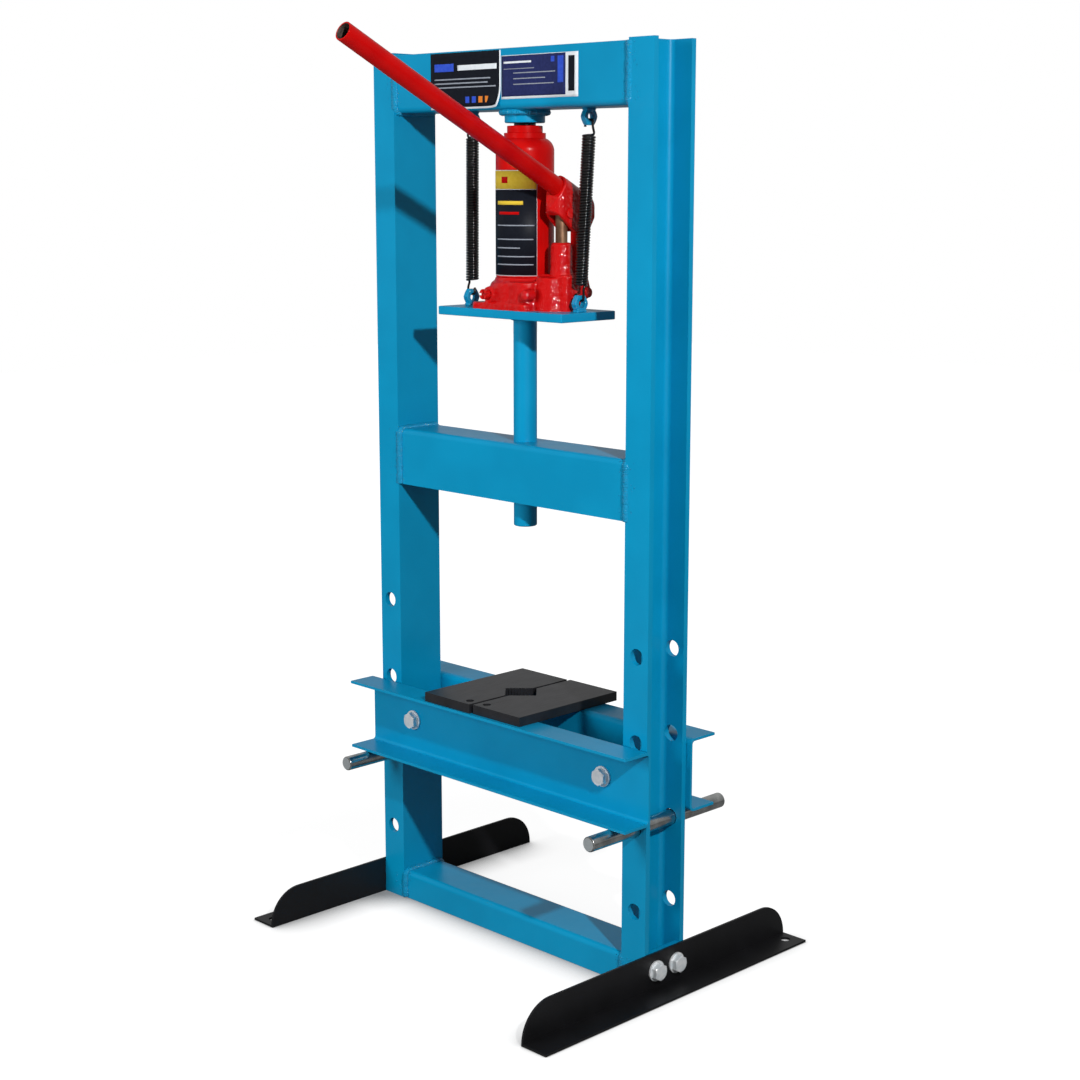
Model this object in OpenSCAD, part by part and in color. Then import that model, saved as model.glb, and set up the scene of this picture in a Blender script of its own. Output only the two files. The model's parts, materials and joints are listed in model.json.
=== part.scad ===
// Hydraulic workshop press: a welded H frame, a bed of two channels on a pair of pins,
// and a bottle jack on a ram plate that two springs draw up to the top beam.
// Right is +X, the front is -Y, and the floor is Z = 0 at the middle of the frame.

/* [Frame] */
// Height of the legs
leg_h = 960; // [940:5:1040]
// Width of the frame over the tips of the leg flanges
frame_w = 412; // [400:1:480]
// Width of a leg flange, web included
leg_flange = 33; // [32:0.5:40]
// Depth of a leg, front to back
leg_depth = 60; // [58:1:64]
// Thickness of the web and the flanges of a leg
leg_wall = 6; // [5:0.5:6.5]
// Radius of the two corners inside a leg
leg_fillet = 6; // [2:0.5:8]
// Depth of the three cross beams, front to back
beam_depth = 56; // [52:1:57]
// Thickness of the beam sheet
beam_wall = 4; // [3:0.5:5]
// Outer radius of the bends of a beam
beam_bend = 6; // [5.5:0.5:8]
// Height of the top beam
beam_h = 60.9; // [55:1:70]
// Height of the middle beam
middle_h = 62.5; // [55:1:70]
// How far the top beam stays below the tips of the legs
beam_inset = 2.4; // [1:0.2:6]
// Distance of the underside of the middle beam below the tips of the legs
middle_drop = 470; // [460:5:490]
// Height of the bottom beam
bottom_h = 32.6; // [28:1:45]

/* [Leg holes] */
// Diameter of the bed pin holes in the legs
pin_hole_d = 17; // [16.6:0.2:19]
// Height of the lowest row of holes
hole_z = 84.3; // [75:1:95]
// Distance between two rows of holes
hole_pitch = 90; // [85:1:93]
// Number of rows
hole_rows = 4; // [3:1:4]
// Row that holds the bed, counted up from zero
bed_row = 1; // [0:1:2]
// Distance of the holes from the tips of the leg flanges
hole_inset = 15.5; // [14:0.5:17]

/* [Bed] */
// How far the bed channels reach past the left leg
bed_past_left = 11.5; // [7:0.5:16]
// How far the bed channels reach past the right leg
bed_past_right = 6; // [2:0.5:16]
// Height of the bed channels
bed_h = 78.5; // [70:0.5:84]
// Width of a bed channel flange, web included
bed_flange = 38; // [34:0.5:44]
// Thickness of the bed sheet
bed_wall = 3; // [2.5:0.1:5]
// Outer radius of the bends of a bed channel
bed_bend = 6.5; // [6:0.5:9]
// Running clearance between a leg and a bed channel
bed_gap = 0.5; // [0.3:0.1:0.8]
// Distance of the bolts of the bed from the inner faces of the legs
bed_bolt_in = 25; // [18:1:38]
// Outer diameter of the spacer tubes between the channels
spacer_d = 22; // [18:1:26]
// Diameter of a bed pin
pin_d = 16; // [15:0.5:16.2]
// Length of a bed pin
pin_len = 203; // [190:1:230]
// How far the pins stand nearer to the back than to the front
pin_shift = 2.5; // [0:0.5:6]
// Chamfer on the ends of a bed pin
pin_chamfer = 1.2; // [0.5:0.1:2]

/* [Arbor plates] */
// Width of one arbor plate
v_w = 72; // [66:1:78]
// Length of an arbor plate, front to back
v_len = 150; // [142:1:160]
// Thickness of an arbor plate
v_t = 10.4; // [9:0.2:12]
// Half the diagonal of the square gap that the two notches form
v_notch = 22.5; // [19:0.5:26]
// Gap between the two plates
v_gap = 3.4; // [2:0.2:6]
// Place of the gap, left of the middle
v_x = -18; // [-24:1:0]
// Place of the middle of the plates, behind the middle of the bed
v_y = 9.2; // [0:0.2:12]
// How far the right plate lies further back than the left one
v_slip = 2; // [0:0.5:4]
// Depth of the teeth along a notch
v_tooth = 0.9; // [0.6:0.1:1.4]
// Number of teeth on one side of a notch
v_teeth = 9; // [6:1:12]
// Diameter of the hole in an arbor plate
v_hole_d = 9; // [7:0.5:11]
// Distance from the front edge of a plate to its hole
v_hole_y = 11; // [9:0.5:16]
// Distance from the inner edge of a plate to its hole
v_hole_x = 10.5; // [9:0.5:16]

/* [Feet] */
// Length of a foot, front to back
foot_len = 404; // [380:1:440]
// How far the end of a foot without its floor bolt hole reaches out further
foot_shift = 11; // [0:1:20]
// Height of a foot
foot_h = 40.5; // [40:0.5:46]
// Width of the flat flange of a foot
foot_w = 33.9; // [30:0.5:42]
// Thickness of a foot
foot_wall = 2.5; // [2:0.5:5]
// Radius of the upper corners of a foot
foot_r = 38.5; // [24:0.5:39]
// Diameter of the floor bolt hole at one end of a foot
anchor_d = 11; // [9:0.5:13]
// Distance from the floor bolt hole to the end of the foot
anchor_end = 14; // [12:0.5:26]
// Distance from the floor bolt hole to the corner of the foot
anchor_in = 16.5; // [14:0.5:20]
// Thickness of the plate in a leg that takes the foot bolts
foot_plate_t = 6; // [5:0.5:8]
// Half the distance between the two bolts of a foot
foot_bolt_y = 15.5; // [13:0.5:15.5]
// Height of the foot bolts above the floor
foot_bolt_z = 21; // [18:0.5:24]

/* [Bolts] */
// Diameter of the bolts
bolt_d = 10; // [8:0.5:11]
// Clearance of the holes round the bolts, on the diameter
bolt_gap = 0.6; // [0.4:0.1:1]
// Width across the flats of the bolt heads and nuts
hex_af = 16.5; // [16:0.5:18]
// Height of a bolt head
head_h = 6.4; // [5:0.2:8]
// Height of a nut
nut_h = 8.4; // [6:0.2:9]
// Diameter of a washer
washer_d = 22; // [20:0.5:24]
// Thickness of a washer
washer_t = 2; // [1:0.2:3]
// How far the thread stands out of its nut
thread_out = 4; // [2:0.5:8]

/* [Ram] */
// Width of the ram plate
plate_w = 186; // [176:1:200]
// Depth of the ram plate, front to back
plate_d = 79; // [77:1:90]
// Thickness of the ram plate
plate_t = 9; // [7:0.5:12]
// Diameter of the ram rod
rod_d = 25; // [22:0.5:28]
// Length of the ram rod below the plate
rod_len = 222.8; // [200:1:224]
// Chamfer at the lower end of the rod
rod_chamfer = 1; // [0.5:0.1:2]
// Leg of the weld round the top of the rod
rod_weld = 4; // [2:0.5:6]
// Running clearance on the radius, of the rod and of all parts of the jack
fit = 0.05; // [0.04:0.01:0.08]
// Wall of the guide tube in the middle beam
guide_wall = 5; // [3:0.5:8]
// Diameter of the pad under the top beam
pad_d = 42; // [36:1:50]
// Height of the pad under the top beam
pad_h = 13.2; // [10:0.2:18]
// Leg of the weld round the pad
pad_weld = 6; // [3:0.5:7]

/* [Jack body] */
// Height of the jack over its cap
jack_h = 187.7; // [184:1:200]
// Diameter of the tank
tank_d = 61; // [60:0.5:64]
// Thickness of the tank wall
tank_wall = 3; // [2:0.2:4]
// Radius of the shoulder of the tank
shoulder_r = 14; // [12:0.5:15]
// Diameter of the neck of the tank
neck_d = 43.4; // [42.5:0.1:46]
// Height of the neck
neck_h = 5.4; // [4:0.2:8]
// Diameter of the cap
cap_d = 37; // [35:0.2:40]
// Height of the cap above the neck
cap_h = 7.3; // [6:0.1:9]
// Diameter of the part of the cap inside the neck
cap_plug_d = 34; // [33:0.5:34.5]
// How far the cap reaches down inside the tank
cap_plug_h = 11; // [10:0.5:14]
// Diameter of the bore of the main cylinder
bore_d = 30; // [28:0.5:31]
// Wall of the main cylinder
bore_wall = 4; // [3:0.2:4.5]
// Depth of the seat of the main cylinder in the base
bore_seat = 4; // [2:0.5:6]
// Diameter of the ram of the jack
ram_d = 24; // [23.5:0.5:25]
// Height of the piston at the foot of the ram
piston_h = 12; // [10:0.5:16]
// Gap between the piston and the base, with the jack drawn in
piston_gap = 8; // [5:0.5:12]
// Diameter of the head of the extension screw
screw_head_d = 22.7; // [20:0.1:23]
// Height of the head of the extension screw
screw_head_h = 2.8; // [2:0.1:4]
// Diameter of the extension screw
screw_d = 14; // [12:0.5:16]
// Length of the extension screw inside the ram
screw_len = 68; // [50:1:80]
// Diameter of the filler plug
plug_d = 9; // [7:0.5:12]
// How far the head of the filler plug stands out of the tank
plug_out = 3; // [2:0.5:5]
// Width of the rim of the head round the shank of the filler plug
plug_rim = 1.5; // [1:0.5:3]
// How far the filler plug lies below the shoulder
plug_drop = 12; // [9:1:20]

/* [Jack base] */
// Height of the base at the tank
base_h = 33.4; // [32:0.2:36]
// Radius of the boss of the base round the tank
boss_r = 36.6; // [35:0.2:37.5]
// Radius of the rounded upper edge of the boss
boss_round = 5; // [3:0.5:5.5]
// Height of the boss at its rounded edge
boss_h = 29; // [27:0.2:31]
// Half depth of the foot of the base, front to back
sole_y = 38; // [37:0.2:38.4]
// Left end of the foot of the base
sole_left = 44; // [40:0.5:48]
// Right end of the foot of the base
sole_right = 37; // [34:0.5:40]
// Thickness of the foot of the base
sole_t = 7; // [5:0.5:9]
// Radius of the corners of the foot of the base
sole_r = 6; // [4:0.5:10]
// Half width of the block beside the boss
block_y = 35; // [32:0.5:36]
// Left end of the block beside the boss
block_left = 1; // [0:0.5:6]
// Radius of the corners of the block beside the boss
block_r = 14; // [5:0.5:16]
// Half width of the nose that carries the pump
nose_y = 10.5; // [10:0.5:13]
// Right end of the nose
nose_x = 70.5; // [69:0.2:71]
// Height of the nose
nose_h = 37.4; // [35:0.2:40]
// Radius of the corners of the nose
nose_r = 5; // [3:0.5:6]

/* [Pump] */
// Distance from the jack to its pump
pump_x = 53.5; // [52:0.5:54]
// Diameter of the pump cylinder
pump_d = 18; // [15:0.5:18.5]
// Height of the top of the pump cylinder above the plate
pump_top = 69.7; // [66:0.5:72]
// Depth of the pump cylinder in the nose
pump_seat = 14; // [10:0.5:18]
// Diameter of the pump piston
piston_d = 12.4; // [10:0.2:12.6]
// Height of the lower end of the pump piston above the plate
piston_low = 43; // [41.5:0.5:48]
// Height of the piston pin above the plate
eye_z = 99.2; // [98:0.2:100]
// Diameter of the piston pin
eye_pin_d = 6; // [5:0.2:6.4]
// Room round the piston pin in the piston, on the radius
eye_room = 1.1; // [1:0.1:1.3]

/* [Pump link] */
// Distance from the pump to the link, towards the back
link_y = 26.4; // [25.5:0.1:27]
// Height of the lower link pin above the plate
link_low_z = 18; // [16:0.5:20]
// Height of the upper link pin above the plate
link_top_z = 101; // [100:0.2:102]
// Width of the link and of its bar
link_w = 13; // [11:0.5:13.5]
// Radius of the upper end of the link
link_top_r = 7.5; // [7:0.1:8]
// Clearance on each side of the link
link_gap = 0.2; // [0.15:0.05:0.3]
// Diameter of the two link pins
link_pin_d = 7; // [6:0.2:8]
// Diameter of the heads of the pins
pin_head_d = 10.5; // [9:0.5:12]
// Height of the heads of the pins
pin_head_h = 1.8; // [1:0.2:2.4]
// Radius of the lugs round the lower link pin
lug_r = 6.4; // [6:0.2:7.5]

/* [Handle] */
// Angle of the handle above the horizontal
handle_angle = 27; // [25:1:29]
// Height of the line of the handle over the pump
handle_z = 122.3; // [121.5:0.5:126]
// Diameter of the handle tube
handle_d = 19; // [18:0.5:19.4]
// Wall of the handle tube
handle_wall = 1.6; // [1.2:0.2:2.4]
// Reach of the handle from the pump
handle_out = 316.8; // [280:5:360]
// How far the handle goes into its socket behind the pump
handle_in = 20; // [16:0.5:21]
// Width of the socket casting
socket_w = 25; // [24.5:0.5:28]
// Front of the socket casting along the handle, from the pump
socket_front = 9; // [7:0.5:12]
// Wall between the handle and the slot under it
socket_floor = 2.4; // [2:0.2:3]
// Clearance between the link and the slot over it
slot_room = 1.1; // [0.8:0.1:1.6]
// Front end of the slot, from the pump
slot_front = 11; // [10.5:0.5:12]
// Front of the nose of the socket casting, from the pump
hood_front = 17.5; // [16:0.5:20]
// Height of the upper edge of the nose over the piston pin
hood_high = 7; // [5:0.5:14]
// Height of the lower edge of the nose over the piston pin
hood_low = 3; // [1:0.5:5]
// How far the socket casting reaches below the piston pin
hood_drop = 19; // [16:0.5:21]
// Front end of the lower edge of the socket casting, behind the pump
hood_toe = 8; // [5:0.5:12]
// Back end of the lower edge of the socket casting, behind the pump
hood_heel = 28; // [24:0.5:32]
// Back of the socket casting, from the pump
hood_back = 37; // [36:0.5:40]
// Depth of the flat back of the socket casting below the piston pin
hood_tail = 4; // [1:0.5:8]

/* [Release valve] */
// Distance of the valve left of the jack
valve_x = 19; // [17:0.5:21]
// Height of the valve above the plate
valve_z = 15.5; // [15:0.5:17]
// Diameter of the valve stem
valve_d = 8; // [7:0.5:9]
// Diameter of the boss round the valve
valve_boss_d = 16; // [14:0.5:18]
// Front face of the boss round the valve
valve_boss_y = 37; // [36.5:0.5:39]
// Diameter of the valve head
valve_head_d = 11; // [10:0.5:13]
// Length of the valve head
valve_head_len = 6; // [4:0.5:8]
// Width of the cross slots in the valve head
valve_slot = 2.4; // [1.6:0.2:3]

/* [Spring nuts] */
// Width across the flats of the nuts that the springs hook into
eye_af = 17; // [16:0.5:18]
// Diameter of the hole through such a nut
eye_hole_d = 9; // [8.2:0.2:10]
// Thickness of such a nut
eye_len = 6.5; // [6:0.5:10]
// Distance of the lower left nut from the middle
low_left = 83; // [82:0.5:86]
// Distance of the lower right nut from the middle
low_right = 80; // [79:0.5:84]
// Distance of the upper left nut from the middle
high_left = 80; // [79:0.5:86]
// Distance of the upper right nut from the middle
high_right = 92; // [84:0.5:94]

/* [Springs] */
// Outer diameter of a spring
spring_d = 14.2; // [13:0.2:16]
// Thickness of the spring wire
wire_d = 2.5; // [2:0.1:2.6]
// Number of turns of each spring
spring_turns = 42; // [30:1:45]
// Height of the lower end of the coil above the plate
coil_low = 26.5; // [25:0.5:32]
// Distance of the upper end of the coil below the top beam
coil_drop = 26.5; // [25:0.5:32]

// How far the lower end of each coil stands to the right of its nut
coil_shift = 1.5; // [0:0.1:2]

/* [Hidden] */
$fn = 64;

blue = "#0F8CBE";
red = "#C4140F";
black = "#1B1B1E";
dark_steel = "#3A3A3D";
zinc = "#C9CBCC";
steel = "#A9ABAD";

// How far a cutting shape stands past the solid that it cuts
past = 1;
// Gap that keeps a part on a rest from sharing volume with it
rest_gap = 0.05;

leg_tip = frame_w / 2;
leg_web = leg_tip - leg_flange;
beam_len = 2 * leg_web;
top_z = leg_h - beam_inset - beam_h;
middle_z = leg_h - middle_drop;
hole_x = leg_tip - hole_inset;

// Share of the width across the flats that the round face of a hexagon has
hex_face = 0.95;
bolt_hole_d = bolt_d + bolt_gap;
anchor_x = leg_tip + anchor_in;
anchor_y = (foot_len - foot_shift) / 2 - anchor_end;
foot_grip = foot_wall + foot_plate_t;

bed_left = leg_tip + bed_past_left;
bed_right = leg_tip + bed_past_right;
bed_bolt_x = leg_web - bed_bolt_in;
row_z = hole_z + bed_row * hole_pitch;
pin_z = row_z - (pin_hole_d - pin_d) / 2 + rest_gap;
bed_z = pin_z + pin_d / 2 + rest_gap;
bed_inner = leg_depth / 2 + bed_gap;
bed_outer = bed_inner + bed_flange;
bed_top = bed_z + bed_h;
bed_bolt_z = bed_z + bed_h / 2;
bed_grip = 2 * (bed_inner + bed_wall);

jack_top = top_z - pad_h - screw_head_h;
plate_top = jack_top - jack_h;
plate_low = plate_top - plate_t;

tank_r = tank_d / 2;
tank_z = plate_top + base_h;
neck_z = jack_top - cap_h - neck_h;
shoulder_x = tank_r - shoulder_r;
shoulder_z = neck_z - sqrt(pow(shoulder_r, 2) - pow(neck_d / 2 - shoulder_x, 2));
shell_r = shoulder_r - tank_wall;
shell_top = shoulder_z + sqrt(pow(shell_r, 2) - pow(cap_plug_d / 2 - shoulder_x, 2));
cylinder_top = neck_z + neck_h - cap_plug_h;
cylinder_low = tank_z - bore_seat;
ram_low = tank_z + piston_gap;

pump_bore_d = piston_d + 2 * fit;
slot_w = link_w + 2 * link_gap;
lug_in = slot_w / 2;
lug_out = socket_w / 2;

upper_eye_z = top_z - eye_af / 2;
lower_eye_z = plate_top + eye_af / 2;

coil_r = (spring_d - wire_d) / 2;
coil_steps = 8;
wire_sides = 6;
// Steps of the curve from the coil to its nut, and how steeply the curve starts and ends
hook_steps = 8;
hook_rise = 2.5;
// Room between a hook and the face of its nut, and between a hook and the wall of the hole
hook_gap = 0.8;
hook_room = 0.3;
// Radius of the bends of a hook, and how far its tip passes the nut
hook_r = 2.4;
hook_tip = 1.5;

// Section of a rolled channel, open towards +Y, with its web on the X axis
module leg_2d() {
    inner = leg_depth - 2 * leg_wall;
    difference() {
        translate([-leg_depth / 2, 0]) square([leg_depth, leg_flange]);
        translate([-inner / 2, leg_wall + leg_fillet]) square([inner, leg_flange]);
        translate([leg_fillet - inner / 2, leg_wall])
            square([inner - 2 * leg_fillet, leg_flange]);
        for (side = [-1, 1])
            translate([side * (inner / 2 - leg_fillet), leg_wall + leg_fillet])
                circle(leg_fillet);
    }
}

// Section of a folded channel, open towards +Y, with its web on the X axis
module channel_2d(width, leg, wall, bend) {
    difference() {
        union() {
            translate([bend - width / 2, 0]) square([width - 2 * bend, leg]);
            translate([-width / 2, bend]) square([width, leg - bend]);
            for (side = [-1, 1])
                translate([side * (width / 2 - bend), bend]) circle(bend);
        }
        translate([bend - width / 2, wall]) square([width - 2 * bend, leg]);
        translate([wall - width / 2, bend]) square([width - 2 * wall, leg]);
        for (side = [-1, 1])
            translate([side * (width / 2 - bend), bend]) circle(bend - wall);
    }
}

// A rectangle about the origin with round corners
module round_rect_2d(width, depth, r) {
    square([width - 2 * r, depth], center = true);
    square([width, depth - 2 * r], center = true);
    for (x = [-1, 1], y = [-1, 1])
        translate([x * (width / 2 - r), y * (depth / 2 - r)]) circle(r);
}

// A cylinder along X or along Y, about its own middle
module bar_x(d, len) rotate([0, 90, 0]) cylinder(d = d, h = len, center = true);
module bar_y(d, len) rotate([90, 0, 0]) cylinder(d = d, h = len, center = true);

// A channel leg, open to the outside
module leg(side) {
    difference() {
        translate([side * leg_web, 0, 0])
            rotate([0, 0, -90 * side])
                linear_extrude(leg_h) leg_2d();
        for (row = [0 : hole_rows - 1])
            translate([side * hole_x, 0, hole_z + row * hole_pitch])
                bar_y(pin_hole_d, leg_depth + 2 * past);
    }
}

module leg_left() {
    color(blue) leg(-1);
}

module leg_right() {
    color(blue) leg(1);
}

// A cross beam between the webs of the legs, with its web up or down
module beam(z, height, web_up) {
    translate([0, 0, web_up ? z + height : z])
        rotate([90, 0, 90])
            mirror([0, web_up ? 1 : 0])
                linear_extrude(beam_len, center = true)
                    channel_2d(beam_depth, height, beam_wall, beam_bend);
}

module top_beam() {
    color(blue) beam(top_z, beam_h, false);
}

module middle_beam() {
    color(blue) difference() {
        beam(middle_z, middle_h, true);
        translate([0, 0, middle_z])
            cylinder(r = rod_d / 2 + fit, h = middle_h + past);
    }
}

module bottom_beam() {
    color(blue) beam(0, bottom_h, true);
}

// Guide tube of the ram rod, welded under the web of the middle beam
module ram_guide() {
    guide_r = rod_d / 2 + fit;
    guide_h = middle_h - beam_wall;
    color(blue) translate([0, 0, middle_z]) difference() {
        cylinder(r = guide_r + guide_wall, h = guide_h);
        translate([0, 0, -past]) cylinder(r = guide_r, h = guide_h + 2 * past);
    }
}

// Pad that the head of the jack pushes against, with its weld
module saddle_pad() {
    color(blue) rotate_extrude() polygon([
        [0, top_z - pad_h],
        [pad_d / 2, top_z - pad_h],
        [pad_d / 2, top_z - pad_weld],
        [pad_d / 2 + pad_weld, top_z],
        [0, top_z]
    ]);
}

// A nut that a spring hooks into, welded on by one of its flats
module spring_eye(x, z) {
    translate([x - eye_len / 2, 0, z]) rotate([0, 90, 0]) difference() {
        rotate([0, 0, 30]) hexagon(eye_af, eye_len, true);
        translate([0, 0, -past]) cylinder(d = eye_hole_d, h = eye_len + 2 * past);
    }
}

module upper_spring_eyes() {
    color(blue) {
        spring_eye(-high_left, upper_eye_z);
        spring_eye(high_right, upper_eye_z);
    }
}

module lower_spring_eyes() {
    color(blue) {
        spring_eye(-low_left, lower_eye_z);
        spring_eye(low_right, lower_eye_z);
    }
}

// The upright side of a foot, with the end at its floor bolt hole on the right
module foot_side_2d() {
    translate([-foot_len / 2, 0]) square([foot_len, foot_h - foot_r]);
    translate([foot_r - foot_len / 2, 0]) square([foot_len - 2 * foot_r, foot_h]);
    for (end = [-1, 1]) intersection() {
        translate([end * (foot_len / 2 - foot_r), foot_h - foot_r]) circle(foot_r);
        translate([-foot_len / 2, 0]) square([foot_len, foot_h]);
    }
}

// The angle under the right leg, with its floor bolt hole near the back
module foot() {
    difference() {
        translate([0, -foot_shift / 2, 0]) {
            translate([leg_tip + foot_w / 2, 0, foot_wall / 2])
                cube([foot_w, foot_len, foot_wall], center = true);
            translate([leg_tip + foot_wall / 2, 0, 0])
                rotate([90, 0, 90])
                    linear_extrude(foot_wall, center = true) foot_side_2d();
        }
        translate([anchor_x, anchor_y, -past])
            cylinder(d = anchor_d, h = foot_wall + 2 * past);
        foot_bolt_places(1) bar_x(bolt_hole_d, 4 * foot_wall);
    }
}

// The two bolts of a foot, at the outer face of its upright flange
module foot_bolt_places(side) {
    for (y = [-1, 1])
        translate([side * (leg_tip + foot_wall), y * foot_bolt_y, foot_bolt_z])
            children();
}

module foot_left() {
    color(black) rotate([0, 0, 180]) foot();
}

module foot_right() {
    color(black) foot();
}

// Plates welded in the mouths of the legs, which the foot bolts go through
module foot_plates() {
    plate_y = leg_depth - 2 * leg_wall;
    color(blue) for (side = [-1, 1]) difference() {
        translate([side * (leg_tip - foot_plate_t / 2), 0, foot_h / 2])
            cube([foot_plate_t, plate_y, foot_h], center = true);
        foot_bolt_places(side) bar_x(bolt_hole_d, 4 * (foot_plate_t + foot_wall));
    }
}

// A hexagon with chamfered corners at its upper end, and at its lower end if both is true
module hexagon(af, h, both) {
    corner = af / 2 / cos(30);
    face = hex_face * af / 2;
    cut = (corner - face) * tan(30);
    intersection() {
        cylinder(r = corner, h = h, $fn = 6);
        rotate_extrude() polygon(concat(
            both ? [[0, 0], [face, 0], [corner, cut]] : [[0, 0], [corner, 0]],
            [[corner, h - cut], [face, h], [0, h]]
        ));
    }
}

// A hexagon bolt with its head on +X and the face under its head at the origin
module bolt_x(len) {
    rotate([0, 90, 0]) {
        hexagon(hex_af, head_h, false);
        translate([0, 0, -len]) cylinder(d = bolt_d, h = len);
    }
}

module nut_x() {
    rotate([0, 90, 0]) difference() {
        hexagon(hex_af, nut_h, true);
        translate([0, 0, -past]) cylinder(d = bolt_d, h = nut_h + 2 * past);
    }
}

module washer_x() {
    rotate([0, 90, 0]) difference() {
        cylinder(d = washer_d, h = washer_t);
        translate([0, 0, -past]) cylinder(d = bolt_hole_d, h = washer_t + 2 * past);
    }
}

module foot_bolts() {
    color(zinc) for (side = [-1, 1])
        foot_bolt_places(side)
            mirror([side < 0 ? 1 : 0, 0, 0])
                translate([washer_t, 0, 0])
                    bolt_x(foot_grip + washer_t + nut_h + thread_out);
}

module foot_washers() {
    color(zinc) for (side = [-1, 1])
        foot_bolt_places(side) mirror([side < 0 ? 1 : 0, 0, 0]) washer_x();
}

module foot_nuts() {
    color(zinc) for (side = [-1, 1])
        foot_bolt_places(side)
            mirror([side < 0 ? 1 : 0, 0, 0])
                translate([-foot_grip - nut_h, 0, 0]) nut_x();
}

// A bed channel, open to the outside, with its bolt holes
module bed_channel(side) {
    difference() {
        translate([-bed_left, side * bed_inner, bed_z + bed_h / 2])
            rotate([90, 0, 90])
                rotate([0, 0, -90 * side])
                    linear_extrude(bed_left + bed_right)
                        channel_2d(bed_h, bed_flange, bed_wall, bed_bend);
        for (x = [-1, 1])
            translate([x * bed_bolt_x, side * bed_inner, bed_bolt_z])
                bar_y(bolt_hole_d, 4 * bed_wall);
    }
}

module bed_channel_front() {
    color(blue) bed_channel(-1);
}

module bed_channel_rear() {
    color(blue) bed_channel(1);
}

// The two bolt lines of the bed, turned so that +X of the children is the front
module bed_bolt_places() {
    for (x = [-1, 1])
        translate([x * bed_bolt_x, -bed_inner - bed_wall, bed_bolt_z])
            rotate([0, 0, -90])
                children();
}

module bed_spacers() {
    color(blue) for (x = [-1, 1])
        translate([x * bed_bolt_x, 0, bed_bolt_z]) difference() {
            bar_y(spacer_d, 2 * bed_inner);
            bar_y(bolt_hole_d, 2 * bed_inner + 2 * past);
        }
}

module bed_bolts() {
    color(zinc) bed_bolt_places()
        translate([washer_t, 0, 0])
            bolt_x(bed_grip + 2 * washer_t + nut_h + thread_out);
}

module bed_washers() {
    color(zinc) bed_bolt_places() {
        washer_x();
        translate([-bed_grip - washer_t, 0, 0]) washer_x();
    }
}

module bed_nuts() {
    color(zinc) bed_bolt_places()
        translate([-bed_grip - washer_t - nut_h, 0, 0]) nut_x();
}

module bed_pin(side) {
    translate([side * hole_x, pin_len / 2 + pin_shift, pin_z])
        rotate([90, 0, 0])
            rotate_extrude() polygon([
                [0, 0],
                [pin_d / 2 - pin_chamfer, 0],
                [pin_d / 2, pin_chamfer],
                [pin_d / 2, pin_len - pin_chamfer],
                [pin_d / 2 - pin_chamfer, pin_len],
                [0, pin_len]
            ]);
}

module bed_pin_left() {
    color(steel) bed_pin(-1);
}

module bed_pin_right() {
    color(steel) bed_pin(1);
}

// One side of a toothed notch, from its mouth to its apex
function notch_side(from, to) = [
    for (i = [0 : 2 * v_teeth])
        let (t = i / (2 * v_teeth), line = to - from, n = [-line.y, line.x] / norm(line))
            from + line * t + n * (i % 2 == 1 ? v_tooth : 0)
];

// An arbor plate seen from above: its inner edge is on the Y axis and it lies towards +X
module arbor_2d() {
    mouth = v_notch - v_gap / 2;
    apex = [v_notch - v_gap / 2, 0];
    polygon(concat(
        [[0, -v_len / 2], [v_w, -v_len / 2], [v_w, v_len / 2], [0, v_len / 2]],
        notch_side([0, mouth], apex),
        notch_side(apex, [0, -mouth])
    ));
}

module arbor_plate(side, slip) {
    translate([v_x + side * v_gap / 2, v_y + slip, bed_top])
        mirror([side < 0 ? 1 : 0, 0, 0])
            difference() {
                linear_extrude(v_t) arbor_2d();
                translate([v_hole_x, v_hole_y - v_len / 2, -past])
                    cylinder(d = v_hole_d, h = v_t + 2 * past);
            }
}

module arbor_plate_left() {
    color(dark_steel) arbor_plate(-1, 0);
}

module arbor_plate_right() {
    color(dark_steel) arbor_plate(1, v_slip);
}

module ram_plate() {
    color(blue) translate([0, 0, plate_top - plate_t / 2])
        cube([plate_w, plate_d, plate_t], center = true);
}

// Ram rod with the weld under the plate
module ram_rod() {
    r = rod_d / 2;
    color(blue) rotate_extrude() polygon([
        [0, plate_low],
        [r + rod_weld, plate_low],
        [r, plate_low - rod_weld],
        [r, plate_low - rod_len + rod_chamfer],
        [r - rod_chamfer, plate_low - rod_len],
        [0, plate_low - rod_len]
    ]);
}

// Lays a shape drawn in the plane of the pump on that plane: X is the distance in front
// of the pump and Y the height above the plate
module on_pump_plane(width) {
    translate([pump_x, 0, plate_top])
        rotate([90, 0, -90])
            linear_extrude(width, center = true)
                children();
}

// Outline of the lugs behind the nose, which hold the lower pin of the link
module lug_2d() {
    translate([-link_y, link_low_z]) circle(lug_r);
    polygon([
        [-nose_y, 0],
        [-nose_y, nose_h],
        [-link_y, nose_h],
        [-link_y - lug_r, link_low_z],
        [-link_y, link_low_z - lug_r]
    ]);
}

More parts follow.
